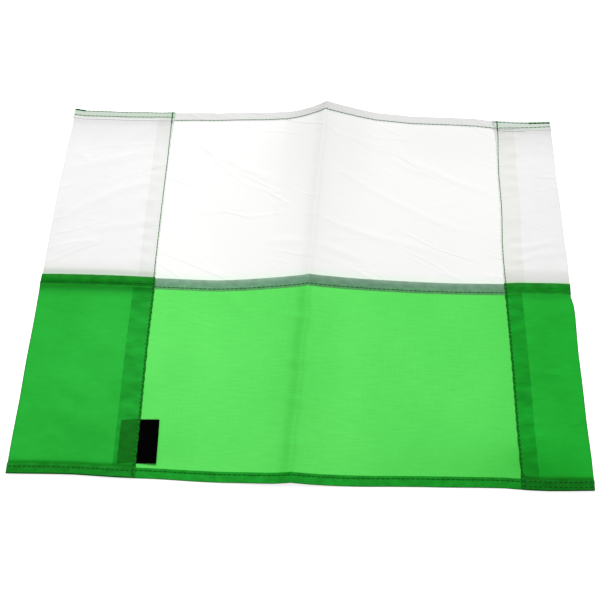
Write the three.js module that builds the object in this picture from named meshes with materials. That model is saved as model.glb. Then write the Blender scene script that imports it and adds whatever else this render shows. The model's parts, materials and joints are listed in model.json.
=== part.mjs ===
// The cloth of a corner flag, lying flat: a white nylon panel and a green one, lapped and sewn across the
// middle, with a hem at the top and the bottom, a wide pole sleeve down the left side, a narrow pole sleeve
// down the right side, and a woven label caught in the wide sleeve's seam. A crease from folding stands up
// as a ridge that grows from the bottom edge to the top edge.
// X runs across the flag, Y from its bottom edge to its top edge, and Z up from the surface it lies on.
import * as THREE from "three";

// Driving dimensions, in millimetres.
const flagWidth = 460; // finished cloth from fold to fold, measured along it
const flagHeight = 366; // from the bottom hem's fold to the top hem's fold
const clothThickness = 0.15; // one layer of nylon
const layerGap = 0.1; // air between two layers of one panel that lie on each other
const clearance = 0.3; // between two pieces that touch

const hemDepthTop = 8.5; // of the double hem along the top edge
const hemDepthBottom = 8.7; // of the double hem along the bottom edge
const hemTuck = 1.5; // how far a hem's hidden raw edge stops short of the fold
const seamTop = 184; // upper edge of the lapped seam, from the bottom hem's fold
const seamDepth = 10.9; // of the lapped seam
const seamTuck = 2.5; // how far the turned edges of the lap stop short of its far side
const seamRamp = 2; // length over which a panel climbs on to the lap

const wideSleeveBottom = 100.5; // outer fold to stitch line, at the bottom edge
const wideSleeveTop = 94; // the same at the top edge
const narrowSleeveBottom = 55.5;
const narrowSleeveTop = 50;
const wideTurnIn = 15; // raw edge of the flap, turned under and back inside the sleeve
const narrowTurnIn = 14;
const flapMargin = 1.5; // the flap's folded edge beyond its stitch line
const wideSleeveRise = 5; // how far the empty sleeve's upper layer stands off, at its middle
const narrowSleeveRise = 5;

const creaseOffsetBottom = -7; // where the crease meets the bottom edge, from the middle of the flag
const creaseOffsetTop = 15; // where it meets the top edge
const creaseGap = 0.3; // between the two halves of a panel, which turn on the crease
const crestBottom = 2.5; // height of the ridge at the bottom edge
const crestTop = 26.5; // height of the ridge at the top edge
const peakTop = 16; // part of that height which is the sharp peak in the top edge
const peakReachLeft = 42; // the peak's foot, from the crest
const peakReachRight = 52;
const skirtBottom = 60; // the ridge's broad foot, from the crest, at the bottom edge
const skirtTopLeft = 160; // the same at the top edge
const skirtTopRight = 190;
const takeUp = 4.3; // cloth that the ridge draws in from each side at the top edge

const labelLength = 37.3; // along the seam
const labelFree = 15.7; // free part, out of the sleeve's seam
const labelHeld = 15; // part caught under the flap
const labelLayer = 0.2; // one layer of the folded woven label
const labelFromBottom = 12.2;

const threadRadius = 0.2;
const stitchInset = 1.2; // from a folded edge to its row of stitches
const threadEnd = 1; // how far a row stops short of the edge or crest it runs to

// Levels above the middle of the cloth that lies on the ground.
const half = 0.5;
const layerStep = clothThickness + layerGap;
const lapRise = half * (clearance + clothThickness) + layerStep;
const lapFace = lapRise + half * clothThickness;
const labelThickness = 2 * labelLayer + layerGap;
const labelLevel = half * (clothThickness + labelThickness) + clearance;
const turnedLevel = Math.max(2 * lapFace + clearance, 2 * labelLevel);
const innerTurn = lapFace + half * layerGap;
const flapLevel = turnedLevel + 2 * innerTurn;
const outerTurn = half * flapLevel;
const hemFace = 2 * layerStep + half * clothThickness;

// How the shapes are divided.
const sleeveTurnSteps = 4;
const hemTurnSteps = 2;
const flapShares = [0.84, 0.67, 0.5, 0.33, 0.16];
const baseShares = [0.22, 0.4, 0.54, 0.66, 0.76, 0.84, 0.9, 0.95];
const pastCrestShare = 1.05; // a place past the crest, which only shows how the cloth turns there
const panelRowShares = [0.2, 0.4, 0.6, 0.8];
const peakPowerShare = 1.3;
const skirtPowerShare = 1.3;
const threadSides = 6;

const nylonFinish = { roughness: 0.55, metalness: 0, side: THREE.DoubleSide };
const white = new THREE.MeshStandardMaterial({ color: 0xf6f8f7, ...nylonFinish });
const green = new THREE.MeshStandardMaterial({ color: 0x2fd340, ...nylonFinish });
const thread = new THREE.MeshStandardMaterial({ color: 0x2f7a45, roughness: 0.7, metalness: 0 });
const woven = new THREE.MeshStandardMaterial({ color: 0x111213, roughness: 0.8, metalness: 0 });

function between(start, end, share) {
  return start + (end - start) * share;
}

function fade(distance, reach, power) {
  return Math.pow(Math.max(0, 1 - distance / reach), power);
}

// The place of the crease across the cloth, at a height up the flag.
function creaseAt(up) {
  return half * flagWidth + between(creaseOffsetBottom, creaseOffsetTop, up / flagHeight);
}

// The cloth without its sleeves and hems: where a point of it, so far across and so far up, comes to lie.
function lieOfCloth(across, up) {
  const rise = up / flagHeight;
  const fromCrest = across - creaseAt(up);
  const side = Math.sign(fromCrest);
  const distance = Math.abs(fromCrest);
  const peakReach = side < 0 ? peakReachLeft : peakReachRight;
  const skirtTop = side < 0 ? skirtTopLeft : skirtTopRight;
  const skirtReach = between(skirtBottom, skirtTop, side < 0 ? rise * rise : rise);
  const peak = peakTop * Math.pow(rise, 3);
  const skirt = between(crestBottom, crestTop, rise) - peak;
  const height = peak * fade(distance, peakReach, peakPowerShare) + skirt * fade(distance, skirtReach, skirtPowerShare);
  const drawnIn = takeUp * rise * (1 - fade(distance, peakReach, 1));
  const turned = (takeUp / flagHeight) * Math.abs(across - creaseAt(0));
  return new THREE.Vector3(across - side * drawnIn, up + turned, height);
}

// One side of the flag, with its sleeve: the sizes that its half of each panel follows.
const leftSide = {
  across: (inset) => inset,
  stitchAt: (up) => between(wideSleeveBottom, wideSleeveTop, up / flagHeight),
  crestAt: (up) => creaseAt(up) - half * creaseGap,
  turnIn: wideTurnIn,
  rise: wideSleeveRise,
};
const rightSide = {
  across: (inset) => flagWidth - inset,
  stitchAt: (up) => between(narrowSleeveBottom, narrowSleeveTop, up / flagHeight),
  crestAt: (up) => flagWidth - creaseAt(up) - half * creaseGap,
  turnIn: narrowTurnIn,
  rise: narrowSleeveRise,
};

// Height of the sleeve's upper layer, the flap, over the ground layer.
function flapLift(side, inset, up) {
  const share = (inset - outerTurn) / (side.stitchAt(up) - outerTurn);
  return flapLevel + side.rise * Math.sin(Math.PI * Math.min(1, Math.max(0, share)));
}

// A place on the cloth as { inset, lift }: the distance in from the flag's outer fold, and the height over
// the layer that lies on the ground. A station gives that place for any height up the flag.
function sleeveStations(side) {
  const edge = (up) => side.stitchAt(up) + flapMargin - innerTurn;
  const stations = [];
  const turnedUnder = (inset) => (up) => {
    const at = inset(up);
    return { inset: at, lift: flapLift(side, at, up) - 2 * innerTurn };
  };
  stations.push(turnedUnder((up) => side.stitchAt(up) - side.turnIn));
  stations.push(turnedUnder((up) => side.stitchAt(up) - half * side.turnIn));
  for (let i = 0; i <= sleeveTurnSteps; i++) {
    const angle = Math.PI * (i / sleeveTurnSteps - half);
    stations.push((up) => ({
      inset: edge(up) + innerTurn * Math.cos(angle),
      lift: flapLevel - innerTurn + innerTurn * Math.sin(angle),
    }));
  }
  stations.push((up) => ({ inset: side.stitchAt(up), lift: flapLevel }));
  for (const share of flapShares) {
    stations.push((up) => {
      const inset = between(outerTurn, side.stitchAt(up), share);
      return { inset, lift: flapLift(side, inset, up) };
    });
  }
  for (let i = 0; i <= sleeveTurnSteps; i++) {
    const angle = Math.PI * (half - i / sleeveTurnSteps);
    const place = { inset: outerTurn - outerTurn * Math.cos(angle), lift: outerTurn + outerTurn * Math.sin(angle) };
    stations.push(() => place);
  }
  for (const share of [...baseShares, 1, pastCrestShare]) {
    stations.push((up) => ({ inset: between(outerTurn, side.crestAt(up), share), lift: 0 }));
  }
  return stations;
}

// The same stations as functions that give the point in space, in order of increasing X on the ground layer.
// One of them lies past the crest: the last on the left side, the first on the right side.
function stationPoints(side) {
  const points = sleeveStations(side).map((station) => (up) => {
    const { inset, lift } = station(up);
    const point = lieOfCloth(side.across(inset), up);
    point.z += lift;
    return point;
  });
  return side === rightSide ? points.reverse() : points;
}

// A half turn of the cloth seen in section, from one level to another round a centre.
function hemTurn(edge, fromLevel, toLevel, outward) {
  const radius = half * Math.abs(fromLevel - toLevel);
  const middle = half * (fromLevel + toLevel);
  const places = [];
  for (let i = 0; i <= hemTurnSteps; i++) {
    const angle = (Math.PI * i) / hemTurnSteps;
    const up = edge + outward * radius * (Math.sin(angle) - 1);
    places.push({ up, level: middle + (fromLevel - middle) * Math.cos(angle) });
  }
  return places;
}

// The white panel in section, from the raw edge hidden in the lap to the raw edge hidden in the top hem.
function whiteSection() {
  const seamBottom = seamTop - seamDepth;
  const turned = lapRise - layerStep;
  const places = [{ up: seamTop - seamTuck, level: turned }];
  places.push(...hemTurn(seamBottom, turned, lapRise, -1));
  places.push({ up: seamTop - half * seamRamp, level: lapRise });
  const bodyStart = seamTop + half * seamRamp;
  const bodyEnd = flagHeight - hemDepthTop;
  places.push({ up: bodyStart, level: 0 });
  for (const share of panelRowShares) places.push({ up: between(bodyStart, bodyEnd, share), level: 0 });
  places.push({ up: bodyEnd, level: 0 });
  places.push(...hemTurn(flagHeight, 0, -2 * layerStep, 1));
  places.push(...hemTurn(flagHeight - hemDepthTop, -2 * layerStep, -layerStep, -1));
  places.push({ up: flagHeight - hemTuck, level: -layerStep });
  return places;
}

// The green panel in section, from the raw edge hidden in the bottom hem to the raw edge behind the lap.
function greenSection() {
  const seamBottom = seamTop - seamDepth;
  const turned = lapRise - layerStep;
  const places = [{ up: hemTuck, level: -layerStep }];
  places.push(...hemTurn(hemDepthBottom, -layerStep, -2 * layerStep, 1));
  places.push(...hemTurn(0, -2 * layerStep, 0, -1));
  const bodyEnd = seamBottom - half * seamRamp;
  places.push({ up: hemDepthBottom, level: 0 });
  for (const share of panelRowShares) places.push({ up: between(hemDepthBottom, bodyEnd, share), level: 0 });
  places.push({ up: bodyEnd, level: 0 });
  places.push({ up: seamBottom + half * seamRamp, level: -turned });
  places.push(...hemTurn(seamTop, -turned, -lapRise, 1));
  places.push({ up: seamBottom + seamTuck, level: -lapRise });
  return places;
}

// The cloth's own directions at a station: up the flag, and square to the cloth on its front side.
function clothFrame(points, i, up) {
  const reach = clothThickness;
  const before = points[Math.max(0, i - 1)](up);
  const after = points[Math.min(points.length - 1, i + 1)](up);
  const along = points[i](up + reach).sub(points[i](up - reach)).normalize();
  const front = after.sub(before).cross(along).normalize();
  return { along, front };
}

// A sheet of one cloth's thickness: the stations give its path across, the section its path up the flag.
function sheetGeometry(side, section) {
  const points = stationPoints(side);
  const pastCrest = side === rightSide ? 0 : points.length - 1;
  const columns = points.length - 1;
  const rows = section.length;
  const positions = [];
  for (const face of [half, -half]) {
    points.forEach((point, i) => {
      if (i === pastCrest) return;
      section.forEach(({ up, level }, j) => {
        const { along, front } = clothFrame(points, i, up);
        const last = section[Math.max(0, j - 1)];
        const next = section[Math.min(rows - 1, j + 1)];
        const length = Math.hypot(next.up - last.up, next.level - last.level);
        const shift = (face * clothThickness * (last.level - next.level)) / length;
        const offset = level + (face * clothThickness * (next.up - last.up)) / length;
        const place = point(up).addScaledVector(front, offset).addScaledVector(along, shift);
        positions.push(place.x, place.y, place.z);
      });
    });
  }
  const back = columns * rows;
  const at = (i, j) => i * rows + j;
  const indices = [];
  const quad = (a, b, c, d) => indices.push(a, b, c, a, c, d);
  for (let i = 0; i + 1 < columns; i++) {
    for (let j = 0; j + 1 < rows; j++) {
      quad(at(i, j), at(i + 1, j), at(i + 1, j + 1), at(i, j + 1));
      quad(back + at(i, j), back + at(i, j + 1), back + at(i + 1, j + 1), back + at(i + 1, j));
    }
  }
  const end = columns - 1;
  for (let j = 0; j + 1 < rows; j++) {
    quad(at(0, j), at(0, j + 1), back + at(0, j + 1), back + at(0, j));
    quad(at(end, j), back + at(end, j), back + at(end, j + 1), at(end, j + 1));
  }
  for (let i = 0; i < end; i++) {
    quad(at(i, 0), back + at(i, 0), back + at(i + 1, 0), at(i + 1, 0));
    quad(at(i, rows - 1), at(i + 1, rows - 1), back + at(i + 1, rows - 1), back + at(i, rows - 1));
  }
  const geometry = new THREE.BufferGeometry();
  geometry.setAttribute("position", new THREE.Float32BufferAttribute(positions, 3));
  geometry.setIndex(indices);
  geometry.computeVertexNormals();
  return geometry;
}

// A row of sewing thread drawn as one strand through the places given, straight between them.
function threadGeometry(places) {
  const outline = new THREE.Shape();
  for (let i = 0; i < threadSides; i++) {
    const angle = (2 * Math.PI * i) / threadSides;
    const x = threadRadius * Math.cos(angle);
    const y = threadRadius * Math.sin(angle);
    if (i === 0) outline.moveTo(x, y);
    else outline.lineTo(x, y);
  }
  const extrudePath = new THREE.CatmullRomCurve3(places);
  return new THREE.ExtrudeGeometry(outline, { steps: 2 * places.length, bevelEnabled: false, extrudePath });
}

// A row that runs across the flag on the front of the ground layer, from a sleeve's flap to the crest.
function crossRow(side, up, face) {
  const start = (at) => side.stitchAt(at) + flapMargin + threadEnd;
  const end = (at) => side.crestAt(at) - threadEnd;
  const level = face + clearance + threadRadius;
  const shares = [0, ...baseShares, 1];
  const points = shares.map((share) => (at) => lieOfCloth(side.across(between(start(at), end(at), share)), at));
  if (side === rightSide) points.reverse();
  return threadGeometry(
    points.map((point, i) => point(up).addScaledVector(clothFrame(points, i, up).front, level)),
  );
}

// The row that closes a sleeve: it runs up the outside of the flap, over both hems and the lapped seam.
function sleeveRow(side) {
  const seamBottom = seamTop - seamDepth;
  const greenTop = seamBottom - half * seamRamp;
  const whiteBottom = seamTop + half * seamRamp;
  const whiteTop = flagHeight - hemDepthTop;
  const places = [];
  const add = (face, ...heights) => heights.forEach((up) => places.push({ up, face }));
  const rows = (from, to) => panelRowShares.map((share) => between(from, to, share));
  const body = half * clothThickness;
  add(hemFace, threadEnd, hemDepthBottom);
  add(body, hemDepthBottom + 2 * seamRamp, ...rows(hemDepthBottom, greenTop), greenTop - seamRamp);
  add(lapFace, greenTop, whiteBottom);
  add(body, whiteBottom + seamRamp, ...rows(whiteBottom, whiteTop), whiteTop - 2 * seamRamp);
  add(hemFace, whiteTop, flagHeight - threadEnd);
  return threadGeometry(
    places.map(({ up, face }) => {
      const place = lieOfCloth(side.across(side.stitchAt(up)), up);
      place.z += flapLevel + face + clearance + threadRadius;
      return place;
    }),
  );
}

const flag = new THREE.Group();

function addPiece(name, geometry, material) {
  const mesh = new THREE.Mesh(geometry, material);
  mesh.name = name;
  flag.add(mesh);
  return mesh;
}

// The two panels, each in two halves that meet at the crease.
addPiece("white_panel_left", sheetGeometry(leftSide, whiteSection()), white);
addPiece("white_panel_right", sheetGeometry(rightSide, whiteSection()), white);
addPiece("green_panel_left", sheetGeometry(leftSide, greenSection()), green);
addPiece("green_panel_right", sheetGeometry(rightSide, greenSection()), green);

// The rows of thread.
const seamRowUp = seamTop - seamDepth + stitchInset;
const topRowUp = flagHeight - hemDepthTop + stitchInset;
const bottomRowUp = hemDepthBottom - stitchInset;
for (const [side, word] of [
  [leftSide, "left"],
  [rightSide, "right"],
]) {
  addPiece("top_hem_thread_" + word, crossRow(side, topRowUp, half * clothThickness), thread);
  addPiece("middle_seam_thread_" + word, crossRow(side, seamRowUp, lapFace), thread);
  addPiece("bottom_hem_thread_" + word, crossRow(side, bottomRowUp, half * clothThickness), thread);
}
addPiece("wide_sleeve_thread", sleeveRow(leftSide), thread);
addPiece("narrow_sleeve_thread", sleeveRow(rightSide), thread);

// The woven label: a strip folded in two, its ends caught under the flap and its fold free.
function labelTabOutline() {
  const fold = half * labelThickness;
  const inner = half * layerGap;
  const outline = new THREE.Shape();
  outline.moveTo(0, -fold);
  outline.lineTo(labelFree - fold, -fold);
  outline.absarc(labelFree - fold, 0, fold, -half * Math.PI, half * Math.PI);
  outline.lineTo(0, fold);
  outline.lineTo(0, inner);
  outline.lineTo(labelFree - fold, inner);
  outline.absarc(labelFree - fold, 0, inner, half * Math.PI, -half * Math.PI, true);
  outline.lineTo(0, -inner);
  outline.closePath();
  return outline;
}

function labelHeldOutline() {
  const fold = half * labelThickness;
  const outline = new THREE.Shape();
  outline.moveTo(-labelHeld, -fold);
  outline.lineTo(-clearance, -fold);
  outline.lineTo(-clearance, fold);
  outline.lineTo(-labelHeld, fold);
  outline.closePath();
  return outline;
}

function labelPiece(outline) {
  const depth = labelLength;
  return new THREE.ExtrudeGeometry(outline, { depth, bevelEnabled: false, curveSegments: 4 });
}

// The label stands in line with the flap's folded edge, and its section is drawn across the flag.
const labelPlace = new THREE.Group();
const labelUp = labelFromBottom + labelLength;
const flapEdge = (up) => lieOfCloth(leftSide.across(leftSide.stitchAt(up) + flapMargin + clearance), up);
const labelFoot = flapEdge(labelFromBottom);
const labelHead = flapEdge(labelUp);
labelPlace.position.copy(labelHead);
labelPlace.position.z += labelLevel;
labelPlace.rotation.z = Math.atan2(labelFoot.x - labelHead.x, labelHead.y - labelFoot.y);
flag.add(labelPlace);
for (const [name, outline] of [
  ["woven_label_tab", labelTabOutline()],
  ["woven_label_held_end", labelHeldOutline()],
]) {
  const mesh = new THREE.Mesh(labelPiece(outline), woven);
  mesh.name = name;
  mesh.rotation.x = half * Math.PI;
  labelPlace.add(mesh);
}

// The part's own origin: the middle of the ground that it covers.
const bounds = new THREE.Box3().setFromObject(flag, true);
const centre = bounds.getCenter(new THREE.Vector3());
flag.position.set(-centre.x, -centre.y, -bounds.min.z);

export default flag;
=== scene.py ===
"""The looks of a corner flag's cloth: two nylon panels, their hems, lapped seam and pole sleeves, the rows of
lockstitches and the woven label, in metres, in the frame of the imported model."""
import json
import math
from dataclasses import dataclass

import bpy
import numpy as np
from mathutils import Matrix, Vector


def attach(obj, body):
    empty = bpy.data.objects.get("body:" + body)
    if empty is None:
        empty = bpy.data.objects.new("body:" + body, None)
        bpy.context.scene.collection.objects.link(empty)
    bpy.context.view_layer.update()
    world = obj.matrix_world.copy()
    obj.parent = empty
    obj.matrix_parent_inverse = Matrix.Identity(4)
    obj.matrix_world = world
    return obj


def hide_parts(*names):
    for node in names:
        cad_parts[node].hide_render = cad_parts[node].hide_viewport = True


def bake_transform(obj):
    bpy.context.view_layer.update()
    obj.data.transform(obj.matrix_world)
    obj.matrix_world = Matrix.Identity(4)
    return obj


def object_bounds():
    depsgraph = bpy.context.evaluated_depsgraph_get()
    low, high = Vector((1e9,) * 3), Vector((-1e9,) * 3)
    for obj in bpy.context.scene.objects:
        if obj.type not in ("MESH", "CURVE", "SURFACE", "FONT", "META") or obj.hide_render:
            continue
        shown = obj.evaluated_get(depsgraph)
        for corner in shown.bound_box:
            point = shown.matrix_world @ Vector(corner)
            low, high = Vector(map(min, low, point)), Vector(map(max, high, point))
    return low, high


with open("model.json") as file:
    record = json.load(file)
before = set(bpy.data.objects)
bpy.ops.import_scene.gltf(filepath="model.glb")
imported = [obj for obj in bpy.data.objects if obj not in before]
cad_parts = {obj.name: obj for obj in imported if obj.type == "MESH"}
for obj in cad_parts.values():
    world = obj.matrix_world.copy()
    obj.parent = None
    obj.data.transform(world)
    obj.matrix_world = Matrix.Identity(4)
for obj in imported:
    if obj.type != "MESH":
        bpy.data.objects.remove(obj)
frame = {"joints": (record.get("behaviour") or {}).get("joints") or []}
cad_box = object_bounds()

MM = 0.001
SEED = 11

# The flag, as cut and sewn.
FLAG_WIDTH = 460 * MM
FLAG_HEIGHT = 366 * MM
HEM_TOP = 10.6 * MM
HEM_BOTTOM = 8.7 * MM
HEM_TUCK = 1.5 * MM
SEAM_TOP = 184 * MM
SEAM_DEPTH = 10.9 * MM
SEAM_BOTTOM = SEAM_TOP - SEAM_DEPTH
SEAM_TUCK = 2.5 * MM
SEAM_RAMP = 2 * MM
FLAP_MARGIN = 1.2 * MM
MARGIN_SPREAD = 48 * MM
SCALLOP = 0.25 * MM
SCALLOP_LENGTH = 8 * MM
# How far each row of stitches lies in from the folded edge that it holds.
TOP_INSET = 1.6 * MM
SEAM_INSET = 2.1 * MM
BOTTOM_INSET = 2.3 * MM
# How deep the top hem is on each flap.
FLAP_HEM_LEFT = 8.2 * MM
FLAP_HEM_RIGHT = 9.8 * MM
# How far the painted shades reach that lie over and under the seam, over the bottom hem and under the
# top hem.
OVER_SEAM_REACH = 16 * MM
UNDER_SEAM_REACH = 12 * MM
OVER_HEM_REACH = 12 * MM
UNDER_HEM_REACH = 42 * MM

# The crease from folding, which stands up as a ridge.
CREASE_BOTTOM = FLAG_WIDTH / 2 - 7 * MM
CREASE_TOP = FLAG_WIDTH / 2 + 15 * MM
CREST_BOTTOM = 2.5 * MM
CREST_TOP = 26.5 * MM
PEAK_TOP = 16 * MM
PEAK_REACH_LEFT = 42 * MM
PEAK_REACH_RIGHT = 52 * MM
SKIRT_BOTTOM = 60 * MM
SKIRT_TOP_LEFT = 160 * MM
SKIRT_TOP_RIGHT = 190 * MM
RIDGE_POWER = 1.3
TAKE_UP = 4.3 * MM
FOOT_SOFTNESS = 0.1
CREASE_EDGE = 0.6 * MM
CREASE_EDGE_REACH = 3.2 * MM

# Thicknesses. A level is the height of a layer over the middle of the cloth that lies on the ground.
CLOTH = 0.12 * MM
LAYER_STEP = 0.16 * MM
GROUND_LEVEL = 0.575 * MM
LAP_TURNED = LAYER_STEP / 2
LAP_FACE = LAP_TURNED + LAYER_STEP
FLAP_STEP_PLAIN = 0.22 * MM
FLAP_STEP_THICK = 0.66 * MM
STACK_RAMP = 5 * MM
# How much a hem lifts the flap, of what the seam does, and how far from a fold the flat cloth stops.
HEM_THICKNESS_SHARE = 0.75
TURN_CLEAR = 0.4 * MM
# From the middle of the cloth's own layer to the outside of one layer, of a hem and of the lapped seam.
FACE_OUT = CLOTH / 2
HEM_OUT = 2 * LAYER_STEP + CLOTH / 2
LAP_OUT = LAP_FACE + CLOTH / 2

# The woven label.
LABEL_LENGTH = 37.3 * MM
LABEL_FREE = 15.7 * MM
LABEL_HELD = 15 * MM
LABEL_LAYER = 0.2 * MM
LABEL_GAP = 0.04 * MM
LABEL_FROM_BOTTOM = 12.2 * MM
LABEL_SKEW = -0.6 * MM
LABEL_RAMP = 14 * MM
LABEL_CURL = 1.1 * MM
LABEL_CURL_MIDDLE_SHARE = 0.35
LABEL_LEAN = 0.12

# Sewing.
STITCH_PITCH = 3.85 * MM
THREAD_RADIUS = 0.26 * MM
SLACK_THREAD_RADIUS = 0.34 * MM
FLAP_THREAD_RADIUS = 0.24 * MM
FAINT_THREAD_RADIUS = 0.1 * MM
# How far the thread strays aside, of its radius, how far the sleeves' rows stop from the flag's edges, and
# how far the rows across the flag go on under its flaps.
THREAD_SLACK_SHARE = 0.25
ROW_END = 0.6 * MM
UNDER_FLAP = 3 * MM
# Places along one stitch, the thread's height there in radii, and whether the needle thread shows there:
# in between, the thread is painted pale, as a painted light in the needle hole.
STITCH_PHASES = (0.0, 0.13, 0.19, 0.27, 0.5, 0.73, 0.81, 0.87)
STITCH_LIFTS = (-0.3, -0.3, 0.3, 1.0, 1.0, 1.0, 0.3, -0.3)
STITCH_SHOWN = (0, 0, 1, 1, 1, 1, 1, 0)
THREAD_SIDES = 6
TACK_SHARES = (0.14, 0.42)
TACK_ASIDE = 0.4 * MM
# Where the rows lie on the two flaps, at the outer fold and at the sleeve's stitches: the bottom hem's row up
# from the bottom, and the top hem's row and the top edge's row down from the top. The narrow flap has one
# more row low on its bottom hem, and a faint one under its top hem. The seam's row lies lower by its drops.
BOTTOM_ROWS = ((5.5 * MM, 5.5 * MM), (6.6 * MM, 6.2 * MM))
TOP_ROWS = ((6.9 * MM, 6.1 * MM), (6.3 * MM, 9.8 * MM))
EDGE_ROWS = ((0.9 * MM, 0.9 * MM), (1.6 * MM, 2.6 * MM))
LOW_ROW = (2.2 * MM, 2.6 * MM)
FAINT_ROW_DOWN = 12.5 * MM
FAINT_ROW_SHARES = (0.45, 0.98)
SEAM_ROW_DROPS = (0.0, 0.3 * MM)
# How dark a row is on its stitches and in the gaps between them, as shares of the needle thread; the rest
# is a pale painted light. On the needle's side it shows in the gaps, and on the other side on the stitches.
PALE_GAPS = (1.0, 0.0)
PLAIN_GAPS = (1.0, 0.3)
FAINT_GAPS = (1.0, 0.65)
CLOSE_STITCHES = (1.0, 1.0)
BOBBIN_SIDE = (0.2, 0.9)
SLEEVE_TACK = 13 * MM
# Short second rows over the sleeves' rows: from one place up the flag to another, and how far aside.
TACKS = (
    (FLAG_HEIGHT - SLEEVE_TACK, FLAG_HEIGHT - ROW_END, 0.5 * MM),
    (SEAM_BOTTOM - 0.5 * MM, SEAM_TOP + 0.5 * MM, 0.9 * MM),
    (0.8 * MM, SLEEVE_TACK, -0.8 * MM),
)

# How finely the cloth is divided.
COLUMN_STEP = 2.3 * MM
CREST_STEP = 0.9 * MM
CREST_ZONE = 7 * MM
ROW_STEP = 2.3 * MM
FOLD_STEPS = 5
FRAME_STEP = 0.2 * MM
LABEL_COLUMNS = 24
LABEL_ROWS = 27
LABEL_FOLD_STEPS = 7

# The ground, as this script finds it in the model: where the bottom end of the wide sleeve's fold lies.
FOOT_X = -FLAG_WIDTH / 2
FOOT_Y = cad_box[0].y + 0.05 * MM

# Soft wrinkles: height, half width, then places across and up the flat cloth, in millimetres.
WRINKLES = (
    (0.42, 3.2, ((2, 297), (45, 308), (84, 321))),
    (0.50, 3.4, ((8, 245), (53, 272), (98, 293))),
    (0.34, 3.0, ((32, 229), (60, 235), (88, 240))),
    (0.36, 3.0, ((0, 205), (26, 214), (48, 223))),
    (0.34, 3.0, ((46, 325), (66, 340), (80, 351))),
    (0.45, 3.4, ((114, 336), (150, 313), (197, 284))),
    (0.30, 2.8, ((190, 222), (234, 217))),
    (0.30, 2.6, ((248, 298), (280, 283), (314, 264), (348, 247), (402, 230))),
    (0.42, 2.6, ((304, 331), (330, 310), (366, 292), (407, 277))),
    (0.30, 2.5, ((239, 246), (261, 234), (295, 227), (339, 217), (366, 205))),
    (0.36, 3.0, ((238, 215), (261, 209), (286, 200))),
    (0.36, 3.0, ((412, 320), (430, 328))),
    (0.40, 3.0, ((407, 213), (430, 222), (456, 230))),
    (0.34, 2.8, ((410, 205), (432, 212), (457, 217))),
    (0.3, 2.4, ((305, 318), (321, 305), (345, 296))),
    (0.85, 9.0, ((18, 66), (52, 44), (84, 36))),
    (0.70, 9.0, ((22, 88), (54, 68), (80, 62))),
    (0.55, 4.0, ((405, 100), (430, 98), (457, 95))),
    (0.45, 5.0, ((157, 174), (172, 158), (186, 146))),
    (0.40, 3.6, ((214, 150), (227, 142), (238, 141))),
    (0.40, 3.6, ((214, 108), (226, 101), (238, 104))),
    (0.40, 3.6, ((212, 74), (225, 67), (236, 66))),
    (0.35, 3.4, ((212, 36), (223, 31), (236, 33))),
)
# How far the top edge, the lapped seam and the bottom edge stray from their straight lines: places across and
# the shift up the flag, in millimetres.
TOP_SHIFTS = (
    (0, 1.8), (12, -0.1), (40, -0.4), (55, -0.9), (70, -0.2), (85, 0.2), (100, 1.2), (120, 1.2), (140, 0.3),
    (155, 0.7), (185, 0.5), (200, 1.0), (212, 0.1), (225, -1.0), (240, -1.9), (255, -0.4), (270, 0.8),
    (290, 1.5), (310, 0.5), (330, -0.9), (350, -0.2), (370, 0.2), (390, 0.0), (410, -2.6), (425, -3.3),
    (440, -3.3), (460, -2.4),
)
SEAM_SHIFTS = (
    (0, -1.7), (50, -1.7), (110, -1.6), (155, -1.8), (195, -1.1), (240, -1.2), (300, -0.4), (350, 0.5),
    (400, 0.2), (430, 0.2), (460, 0.9),
)
BOTTOM_SHIFTS = (
    (0, -0.5), (12, -0.1), (25, 0.3), (40, 0.5), (55, 0.5), (70, 0.2), (85, -0.1), (100, -0.3), (120, -0.5),
    (140, -0.9), (170, -1.4), (200, -1.4), (212, -1.2), (225, -0.3), (240, -1.2), (255, -1.5), (310, -1.2),
    (330, -0.9), (390, -1.0), (410, -2.2), (425, -2.6), (440, -2.4), (460, -1.9),
)
LINE_SHIFTS = ((0.0, BOTTOM_SHIFTS), (SEAM_TOP - SEAM_DEPTH / 2, SEAM_SHIFTS), (FLAG_HEIGHT, TOP_SHIFTS))
SHIFT_REACH = 50 * MM
FOLD_SHIFT_REACH = 45 * MM
END_WANDER_REACH = 18 * MM
WRINKLE_SCALE = 1.35
# How many waves add up to an unevenness, and the shortest and longest of them.
BROAD_WAVES = (7, 70 * MM, 190 * MM)
PUCKER_WAVES = (4, 35 * MM, 80 * MM)
WANDER_WAVES = (4, 40 * MM, 130 * MM)
BROAD_HEIGHT = 0.9 * MM
PUCKER_LENGTH = 9.5 * MM
PUCKER_HEIGHT = 0.13 * MM
PUCKER_REACH = 6 * MM
TUCK_LENGTH = 17 * MM
TUCK_HEIGHT = 0.55 * MM
TUCK_REACH = 22 * MM
# How many lengths the puckers, scallops and tucks drift along their seam.
PUCKER_DRIFT = 5
SCALLOP_DRIFT = 4
TUCK_DRIFT = 3
BILLOW_AT_ENDS_SHARE = 0.12
EDGE_WANDER = 0.45 * MM

# The finish of the nylon: its weave, the clouds and mottles of its tone, its thin wrinkles and the painted
# shade and light along the crease.
WEAVE_PITCH = 0.32 * MM
WEAVE_DEPTH = 0.018 * MM
BAR_LENGTH = 16 * MM
CLOUD_SIZE = 75 * MM
LONG_CLOUD_SIZE = 34 * MM
FINE_CLOUD_SIZE = 6 * MM
MOTTLE_SIZE = 8 * MM
TUCK_SHADE_SIZE = 9 * MM
CRUMPLE_SIZE = 46 * MM
WRINKLE_LENGTH = 95 * MM
WRINKLE_SPACING = 17 * MM
# The thin wrinkles fall to the right in the middle of the flag, and rise to the right on both sleeves.
WRINKLE_SLOPE = -0.42
SLEEVE_WRINKLE_SLOPE = 0.26
CREASE_SHADE_REACH = 34 * MM
CREASE_WANDER = 7 * MM
CREASE_WANDER_LENGTH = 26 * MM
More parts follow.
